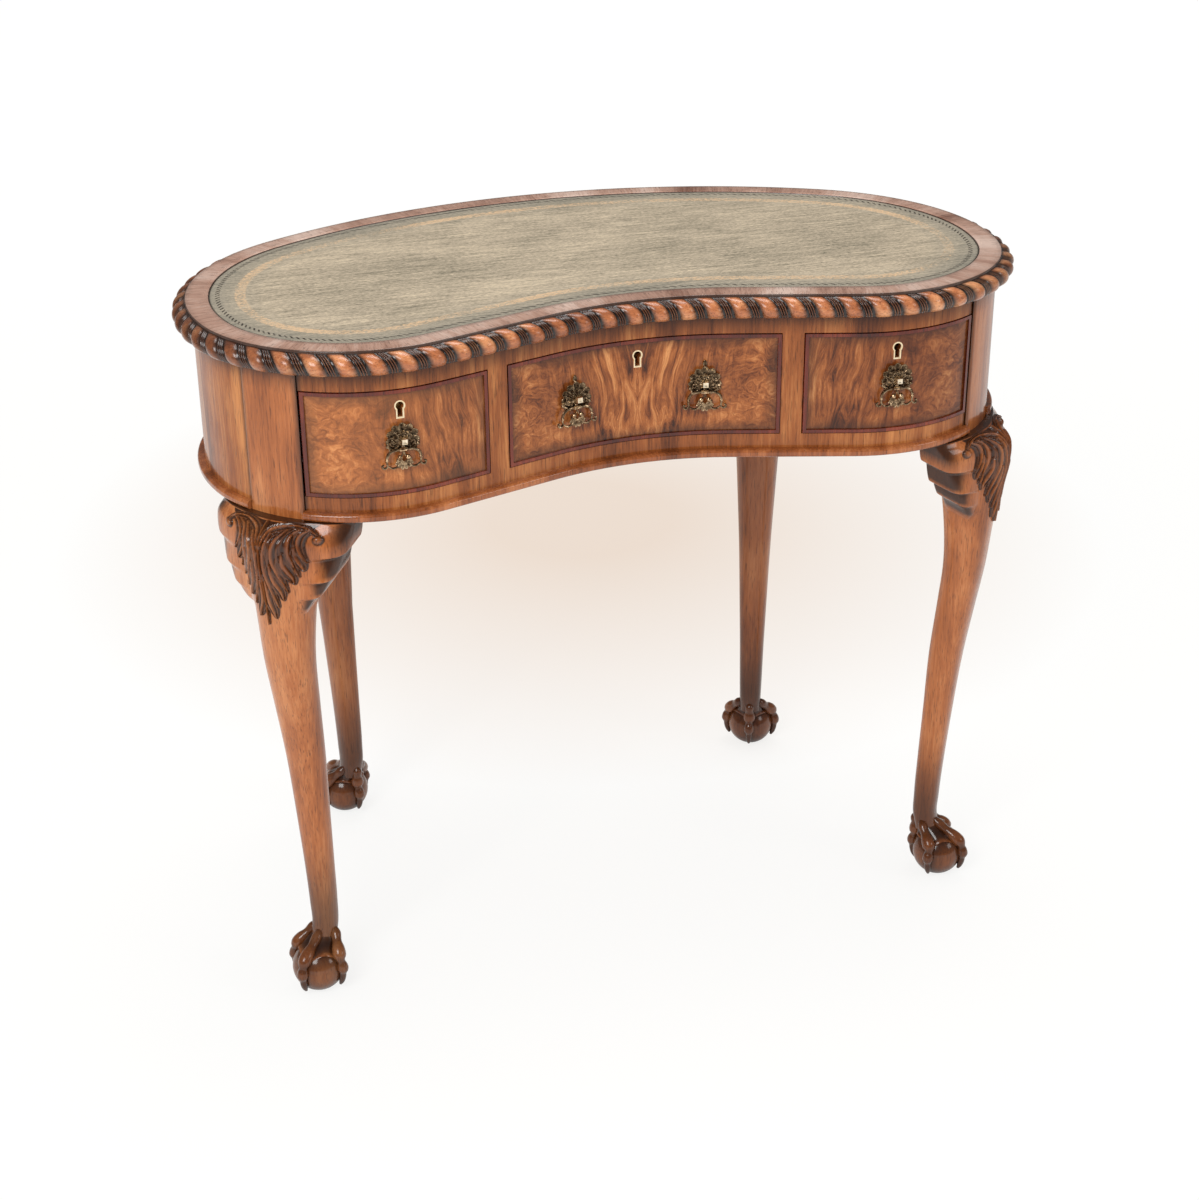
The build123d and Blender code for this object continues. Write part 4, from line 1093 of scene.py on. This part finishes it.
# %% Acanthus relief
PLUMES = (
    ((2, 26), (8, 9), (22, 3), (39, 4), (53, 15)), ((45, 8), (37, 14), (34, 24), (37, 34), (43, 43)),
    ((35, 8), (26, 17), (24, 31), (27, 45), (34, 60)), ((23, 8), (14, 22), (12, 38), (16, 56), (22, 78)),
    ((10, 12), (5, 30), (4, 50), (7, 72), (13, 95)), ((3, 64), (3, 78), (4, 90), (7, 100), (9, 108)),
    ((10, 44), (10, 55), (12, 66), (16, 77), (18, 87)),
    ((20, 34), (20, 44), (23, 54), (27, 63), (29, 69)),
    ((31, 28), (31, 36), (34, 43), (37, 49), (39, 53)))
STEM = ((0, -3), (0, 30), (0, 60), (0, 90), (0, 117))
PLUME_HALF, STEM_HALF, LEAF_RISE, LEAF_GROUND = 5.6, 2.8, 4.4, 121.0
VOLUTE, VOLUTE_SIZE = (53.0, 20.0), 4.8


def plume_height(spots, line, half):
    """Height of one ribbed plume, and how far off its line each spot is in half widths."""
    steps = np.diff(line, axis=0)
    gap = spots - line[:-1]
    part = np.clip((gap * steps).sum(-1) / np.maximum((steps ** 2).sum(-1), 1e-6), 0, 1)
    share = (np.arange(len(steps)) + part) / len(steps)
    belly = 0.34 + 0.80 * np.sin(np.pi * np.clip(share, 0, 1) ** 0.8) ** 0.8
    width = half * belly * (1 - 0.2 * share ** 4)
    gaps = np.linalg.norm(gap - part[..., None] * steps, axis=-1) / width
    off = gaps.min(axis=-1)
    ribs = 0.66 + 0.34 * np.cos(2.25 * np.pi * off)
    return np.sqrt(np.clip(1 - off ** 2, 0, 1)) * ribs, off


def leaf_relief(across, down):
    """Height and shade of the leaf over the knee, both from 0 to 1."""
    spots = np.stack([np.abs(across), down], axis=-1)
    height, near = np.zeros_like(across), np.full_like(across, 9.0)
    steps, knots = np.linspace(0, 1, 30), np.linspace(0, 1, 5)
    for number, points in enumerate(PLUMES + (STEM,)):
        line = np.stack([smooth(steps, knots, np.array(row, float)) for row in zip(*points)], axis=-1)
        half = PLUME_HALF if number < len(PLUMES) else STEM_HALF
        plume, off = plume_height(spots[..., None, :], line, half)
        height, near = np.maximum(height, plume), np.minimum(near, off)
    curl = np.linalg.norm(spots - np.array(VOLUTE), axis=-1) / VOLUTE_SIZE
    height = np.maximum(height, np.sqrt(np.clip(1 - curl ** 2, 0, 1)))
    near = np.minimum(near, curl)
    cover = np.clip((1.4 - near) / 0.25, 0, 1)
    inside = (np.abs(across) < 50 - 0.45 * down) & (down < 100) & (down > -3)
    cover = np.maximum(cover, inside * 1.0)
    return height, 1 - cover * (1 - np.clip(height * 1.25 - 0.40, 0.05, 0.68))


def normals_of(points):
    """Unit normals over a grid whose columns run round, from the steps to its neighbours."""
    up = np.gradient(points, axis=0)
    onwards = np.roll(points, -1, axis=1) - np.roll(points, 1, axis=1)
    normal = np.cross(onwards, up)
    return normal / np.maximum(np.linalg.norm(normal, axis=-1, keepdims=True), 1e-9)


print("leaf:", len(PLUMES), "plumes on each side of the stem")

# %% [markdown]
# ## Claws and balls
#
# A claw is a rod whose line runs over two knuckles, dips between them, and ends
# in a talon on the ball. Its section is round and grows at the knuckles. The
# ball is a sphere cut flat by the floor, and a cup of wood hides its top.

# %% Rods and feet
BALL_RADIUS, BALL_HEIGHT, ANKLE_BACK = 29.2, 27.6, -18.2
CLAW_LINE = np.array((
    (11, 68.5, 4.0), (15, 64, 5.8), (19.5, 58, 5.2), (24, 52.5, 7.2), (28, 46.5, 7.4), (30, 41, 4.7),
    (31.3, 36, 6.0), (32, 31, 6.3), (31.6, 26, 4.2), (31, 20.5, 3.9), (29.6, 14.5, 3.2),
    (27.6, 9.5, 1.7))).T
CLAW_TURNS = (0, 90, 180, 270)


def rod(line, wide, thick, up, sides=14):
    """Tube along a line of points; its section is an ellipse set square to the line."""
    along = np.gradient(line, axis=0)
    along /= np.linalg.norm(along, axis=-1, keepdims=True)
    sideways = np.cross(along, np.broadcast_to(up, line.shape))
    sideways /= np.linalg.norm(sideways, axis=-1, keepdims=True)
    raised = np.cross(sideways, along)
    turn = np.linspace(0, 2 * np.pi, sides, endpoint=False)
    wide, thick = (np.broadcast_to(size, len(line))[:, None] for size in (wide, thick))
    return (line[:, None] + (wide * np.cos(turn))[..., None] * sideways[:, None]
            + (thick * np.sin(turn))[..., None] * raised[:, None])


def ankle_middle(height):
    """How far the middle of the foot stands out: the ball's axis below, the ankle above."""
    return ANKLE_BACK * eased(height, 42.0, 72.0)


def claw(turned):
    """One claw at an angle round the ball, 0 being outwards."""
    share = np.linspace(0, 1, 44)
    knots = np.linspace(0, 1, CLAW_LINE.shape[1])
    reach, height, thick = (smooth(share, knots, row) for row in CLAW_LINE)
    way = facing(90 - turned)
    line = points_at(reach * way[0], reach * way[1] + ankle_middle(height), height)
    grid = rod(line, thick * 1.02, thick, np.array([way[0], way[1], 0.3]))
    # Painted highlights on the knuckles, and painted shade in the dips and towards the talon.
    swell = (thick - thick.min()) / np.ptp(thick)
    shade = 0.06 + 0.34 * swell ** 1.5 * (1 - 0.6 * eased(share, 0.6, 1.0))
    return tube(grid, shade[:, None] * np.ones(grid.shape[1]))


def ball():
    """Sphere with a flat foot, in rings from the floor to its crown."""
    latitude, turn = globe(-78, 88, 30, 6.0)
    radius = BALL_RADIUS * np.cos(latitude) * np.ones_like(turn)
    height = np.maximum(BALL_HEIGHT + BALL_RADIUS * np.sin(latitude), 0.0) * np.ones_like(turn)
    # Painted shade on the ball: darker beside the claws, under the cup and at its foot, and lighter
    # between.
    clear_of_claw_shade = np.abs(np.sin(2 * turn)) ** 0.8
    painted_light_band = np.exp(-((np.degrees(latitude) + 2) / 36) ** 2)
    shade = 0.05 + 0.42 * clear_of_claw_shade * painted_light_band
    return tube(points_at(radius * np.sin(turn), radius * np.cos(turn), height), shade)


def cup():
    """Web of wood between the claws, from the ankle to a rim that dips at every claw."""
    down = np.linspace(0, 1, 20)[:, None]
    turn = np.radians(np.arange(0, 360, 6.0))[None, :]
    rim = 47.5 - 3.0 * np.cos(4 * turn)
    height = 70 - (70 - rim) * down
    lip = np.exp(-((down - 0.94) / 0.06) ** 2)
    radius = (11.0 + 12.0 * down ** 1.4 + 1.0 * lip) * np.ones_like(turn)
    # Painted shade in the web between the claws, and a painted highlight along its lip.
    shade = (0.24 - 0.22 * np.sin(np.pi * down ** 1.3) + 0.30 * lip) * np.ones_like(turn)
    radius = np.vstack([radius, 0 * turn + 15.0])
    height = np.vstack([height, rim])
    shade = np.vstack([shade, 0 * turn])
    out = ankle_middle(height) + radius * np.cos(turn)
    return tube(points_at(radius * np.sin(turn), out, height), shade)


print("foot: a ball and", len(CLAW_TURNS), "claws")

# %% [markdown]
# ## The four legs
#
# A leg is made at its own place: across, outwards and upwards. The block is bent to
# the curve of the case and the leaf raised along its normals, and then all of it
# is turned to where the leg stands. The post runs up in front of the case. Behind,
# a front post stops short of the space that the outer drawer slides through. The
# left legs are the right ones mirrored.

# %% Four legs
POST_BACK, POST_FRONT, POST_CORNER, POST_TOP = 40.0, 3.0, 1.6, 737.4
CENTRE_OPENING, DIVIDER, SIDE_OPENING = 295.6, 21.4, 190.6
DRAWER_SPACE = CENTRE_OPENING / 2 + DIVIDER + SIDE_OPENING


def leg_to_desk(name, points, bend=0.0):
    """From across, outwards and height at a leg to the desk's own frame."""
    centre, radius, angle, _ = LEGS[name]
    away, aside = facing(angle), facing(angle + 90)
    across, out, height = np.moveaxis(points, -1, 0)
    out = out - bend * (radius - np.sqrt(radius ** 2 - across ** 2))
    plan = centre + (radius + out)[..., None] * away + across[..., None] * aside
    return np.concatenate([plan, height[..., None]], axis=-1)


def leg_block(name):
    """Cabriole with its knee, ears and leaf."""
    across, out, height, shade, bend, outer = leg_skin(LEGS[name][3])
    points = points_at(across, out, height)
    front = int(outer.sum()) // 2
    steps = np.linalg.norm(np.diff(points[:, front], axis=0), axis=-1)
    climbed = np.concatenate([[0], np.cumsum(steps)])
    down = (climbed[-1] - 7 - climbed)[:, None] * np.ones_like(across)
    on_knee = outer & (down < LEAF_GROUND + 6) & (np.abs(across) < 64)
    relief, stain = leaf_relief(across, down)
    rise = LEAF_RISE * np.where(on_knee, relief, 0.0) * eased(down, -5, 0)
    normal = normals_of(points)
    points = points + (rise * np.sign(normal[-30, front, 1]))[..., None] * normal
    return tube(leg_to_desk(name, points, bend), shade * np.where(on_knee, stain, 1.0))


def post_block(name):
    """Upright block above the knee, cut back behind so that the outer drawers can pass."""
    radius = LEGS[name][1]
    case_face = radius + CASE_FACE[name]
    face = case_face + POST_FRONT
    half = POST_HALF_WIDTH / case_face
    turn = half * np.sin(np.linspace(-np.pi / 2, np.pi / 2, 21))
    soft = POST_CORNER * (1 - np.clip((half - np.abs(turn)) * face / POST_CORNER, 0, 1)) ** 2
    turn = np.concatenate([turn, np.linspace(half, -half, 8)])
    reach = np.concatenate([face - soft, np.full(8, case_face - POST_BACK)])
    height = np.array([LEG_HEIGHT - 0.2, LEG_HEIGHT + 0.4, 640.0, 700.0, POST_TOP])[:, None]
    corners = leg_to_desk(name, points_at(reach * np.sin(turn), reach * np.cos(turn) - radius, height))
    if name == "front":
        corners[..., 0] = np.maximum(corners[..., 0], DRAWER_SPACE)
    return tube(corners)


def whole_leg(name):
    """Every shell of one leg on the right hand side."""
    foot = [moved(part, lambda points: leg_to_desk(name, points))
            for part in [ball(), cup()] + [claw(turned) for turned in CLAW_TURNS]]
    return [leg_block(name), post_block(name)] + foot


for name in LEGS:
    shells = whole_leg(name)
    for hand, change in (("right", lambda part: part), ("left", mirrored)):
        make_piece(f"carved_leg_{name}_{hand}", [change(part) for part in shells], "desk", "leg_walnut",
                   [f"leg_{name}_{hand}", f"ears_{name}_{hand}"], sharp=50)

# %% [markdown]
# ## Handles
#
# Each handle was cast in brass: a fan of cupped petals behind a square nut, with
# scrolls below it, and a leafy drop on a pin. They are modelled flat, with X to
# the right, Y up and Z off the front, and then set square on the drawer's face.

# %% Parts of a handle
FRONT_FACE, HANDLE_HEIGHT, HOLLOW_SEAT = 7.0, 666.0, 0.68
PIVOT_DROP, PIVOT_HEIGHT = 10.0, 5.1
OFF_FRONT = np.array([0.0, 0.0, 1.0])


def petal(angle, reach, size, cup=0.0, ribs=0.0, lift=0.0):
    """Flat rounded leaf: a squashed ball at a distance from the middle, with a hollow face."""
    latitude, turn = globe(-85, 85, 11, 15.0)
    far, wide, thick = size
    out = np.cos(latitude) * np.cos(turn)
    across = np.cos(latitude) * np.sin(turn)
    height = thick * np.sin(latitude) + cup * (out ** 2 + across ** 2)
    height = height + ribs * np.cos(3.5 * np.pi * across) * (latitude > 0) * np.cos(latitude) + lift
    away, aside = facing(angle), facing(angle + 90)
    plan = (reach + far * out)[..., None] * away + (wide * across)[..., None] * aside
    shade = np.clip(0.25 + 0.75 * (out ** 2 + across ** 2) * (latitude > 0), 0, 1) + 0 * out
    return tube(np.concatenate([plan, height[..., None]], axis=-1), shade)


def bead(place, radius):
    """Small ball at a place."""
    latitude, turn = globe(-85, 85, 9, 24.0)
    level = np.cos(latitude)
    unit = points_at(level * np.cos(turn), level * np.sin(turn), np.sin(latitude))
    return tube(unit * radius + np.array(place))


def stem(points, thick, height, steps=22):
    """Curved wire through points of the plan, thin at both ends."""
    points = np.array(points, dtype=float)
    knots = np.linspace(0, 1, len(points))
    share = np.linspace(0, 1, steps)
    line = points_at(smooth(share, knots, points[:, 0]), smooth(share, knots, points[:, 1]), height)
    size = thick * (0.55 + 0.45 * np.sin(np.pi * share))
    return tube(rod(line, size, size, OFF_FRONT, sides=8))


def level_rod(half, height, radius, sides):
    """Straight rod on the drop's axis, as long to the left as to the right."""
    line = np.array([(step * half, -PIVOT_DROP, height) for step in (-1, 0, 1)])
    return tube(rod(line, radius, radius, OFF_FRONT, sides))


def both_sides(make, points, *rest):
    """A shape drawn on the right and again on the left."""
    left = [(-point[0], *point[1:]) for point in points]
    return [make(points, *rest), make(left, *rest)]


def turned_solid(outline, sides=24, square=False):
    """Solid turned about the stud's axis from pairs of radius and height."""
    count = 4 if square else sides
    turn = np.radians(np.arange(count) * 360 / count + (45 if square else 0))
    radius, height = np.array(outline, dtype=float).T[..., None]
    radius = radius * (math.sqrt(2) if square else 1)
    return tube(points_at(radius * np.cos(turn), radius * np.sin(turn), height))


def dulled(shells, share):
    """The same shells with their shade lowered, for brass that no hand rubs."""
    return [dict(one, shade=one["shade"] * share) for one in shells]


def handle_plate(with_tip):
    """Fan of petals, scrolls beside and below the nut, and the pin of the drop."""
    shells = [turned_solid(((11.0, 0.0), (12.5, 0.5), (11.5, 1.2), (6.5, 1.6), (6.2, 2.6), (3.2, 3.2)))]
    shells += [petal(angle, 11.8, (5.8, 4.4, 1.0), 2.6, 0.5, 1.1) for angle in np.linspace(-38, 218, 9)]
    shells += [petal(angle, 6.8, (3.2, 2.6, 0.9), 1.6, 0.3, 2.6) for angle in np.linspace(-10, 190, 7)]
    for side in (-1, 1):
        shells += [petal(90 - side * 98, 9.4, (2.9, 2.9, 1.3), -0.8, 0.3, 3.2)]
        shells += [bead((side * 9.3, -1.2, 4.5), 1.2), bead((side * 15.6, -6.2, 3.2), 2.0)]
        shells += [bead((side * 5.6, -PIVOT_DROP, 4.6), 1.5)]
    shells += both_sides(stem, [(0.5, -7.5), (5.0, -10.8), (10.0, -10.2), (15.5, -7.0)], 1.9, 3.0)
    shells += both_sides(stem, [(4.0, -5.0), (9.0, -6.5), (12.5, -4.0), (11.0, -1.5)], 1.2, 3.0)
    shells += [bead((0, -8.0, 3.0), 2.6)]
    shells += [level_rod(6.0, PIVOT_HEIGHT, 1.3, sides=10)]
    if with_tip:
        shells += [petal(90, 19.6, (4.4, 2.2, 1.0), 0.4, 0.0, 1.0), bead((0, 17.0, 2.2), 2.0)]
    return dulled(shells, 0.55)


def handle_stud():
    """Shank through the front, and a square nut with a hollow in its point."""
    shank = turned_solid(((2.3, -22.8), (2.3, 7.0)), sides=16)
    nut = turned_solid(((3.0, 6.4), (4.2, 6.6), (4.2, 8.2), (2.7, 12.4), (2.1, 12.4), (1.0, 11.9)),
                       square=True)
    back = turned_solid(((5.0, -23.0), (5.0, -20.1)))
    return [shank, nut, back]


def handle_drop():
    """Two arched arms with scrolled feet, joined by a swag and a palmette with two balls."""
    height = PIVOT_HEIGHT
    shells = both_sides(stem, [(1.0, -11.0), (8.0, -9.8), (14.6, -12.6), (17.4, -18.5), (17.0, -25.5)],
                        1.7, height)
    foot = [(16.6, -23.5), (18.0, -27.2), (21.2, -27.6), (22.2, -25.0), (20.2, -24.0)]
    shells += both_sides(stem, foot, 1.4, height)
    shells += both_sides(stem, [(16.8, -25.6), (12.4, -28.6), (8.0, -28.2), (4.5, -24.6)], 1.25, height)
    shells += both_sides(stem, [(3.0, -17.5), (6.3, -19.8), (5.6, -24.0), (2.2, -23.0)], 1.5, height)
    shells += both_sides(stem, [(0.4, -12.0), (1.4, -16.0), (3.6, -18.6)], 0.9, height)
    shells = dulled(shells, 0.5)
    shells += [bead((side * 4.1, -18.0, height + 1.0), 2.7) for side in (-1, 1)]
    shells += [bead((side * 17.2, -19.5, height + 0.4), 1.8) for side in (-1, 1)]
    palmette = [petal(angle, 5.4, (4.6, 2.3, 1.1), 0.9, 0.3, height - 0.2)
                for angle in np.linspace(-160, -20, 6)]
    shells += [moved(leaf, lambda points: points + np.array([0, -21.6, 0])) for leaf in palmette]
    return shells + [level_rod(4.0, height, 2.2, sides=14)]


def on_front(place):
    """Moves flat work onto the drawer's face at a distance from the desk's middle."""
    walked = np.linspace(0, STARTS[3], 900) * math.copysign(1, place)
    face = around(walked, -FRONT_FACE, HANDLE_HEIGHT)
    nearest = int(np.argmin(np.abs(face[:, 0] - place)))
    outward = around(walked[nearest], 1 - FRONT_FACE, HANDLE_HEIGHT) - face[nearest]
    right = np.array([-outward[1], outward[0], 0.0])
    face_axes = np.stack([right, np.array([0.0, 0.0, 1.0]), outward])
    seat = HOLLOW_SEAT if abs(place) < STARTS[1] else 0.0
    return lambda points: face[nearest] + (points + seat * OFF_FRONT) @ face_axes


print("plate:", len(handle_plate(True)), "shells; drop:", len(handle_drop()), "shells")

# %% [markdown]
# ## The four handles
#
# The plate and the nut ride on their drawer and the drop on its own hinge, so a
# handle is three pieces. On the hollow middle of the front a flat plate touches
# with its ends alone, so it stands off by a hair there.

# %% Four handles
HANDLES = {"left": (-264.5, "drawer_left"), "centre_left": (-71.0, "drawer_centre"),
           "centre_right": (71.0, "drawer_centre"), "right": (264.5, "drawer_right")}

for name, (place, drawer) in HANDLES.items():
    set_on = on_front(place)
    with_tip = drawer == "drawer_centre"
    for part, shells, body, slot in (("plate", handle_plate(with_tip), drawer, "antique_brass"),
                                     ("stud", handle_stud(), drawer, "polished_brass"),
                                     ("drop", handle_drop(), f"drop_{name}", "antique_brass")):
        make_piece(f"cast_{part}_{name}", [moved(one, set_on) for one in shells], body, slot,
                   [f"handle_{name}_{part}"])
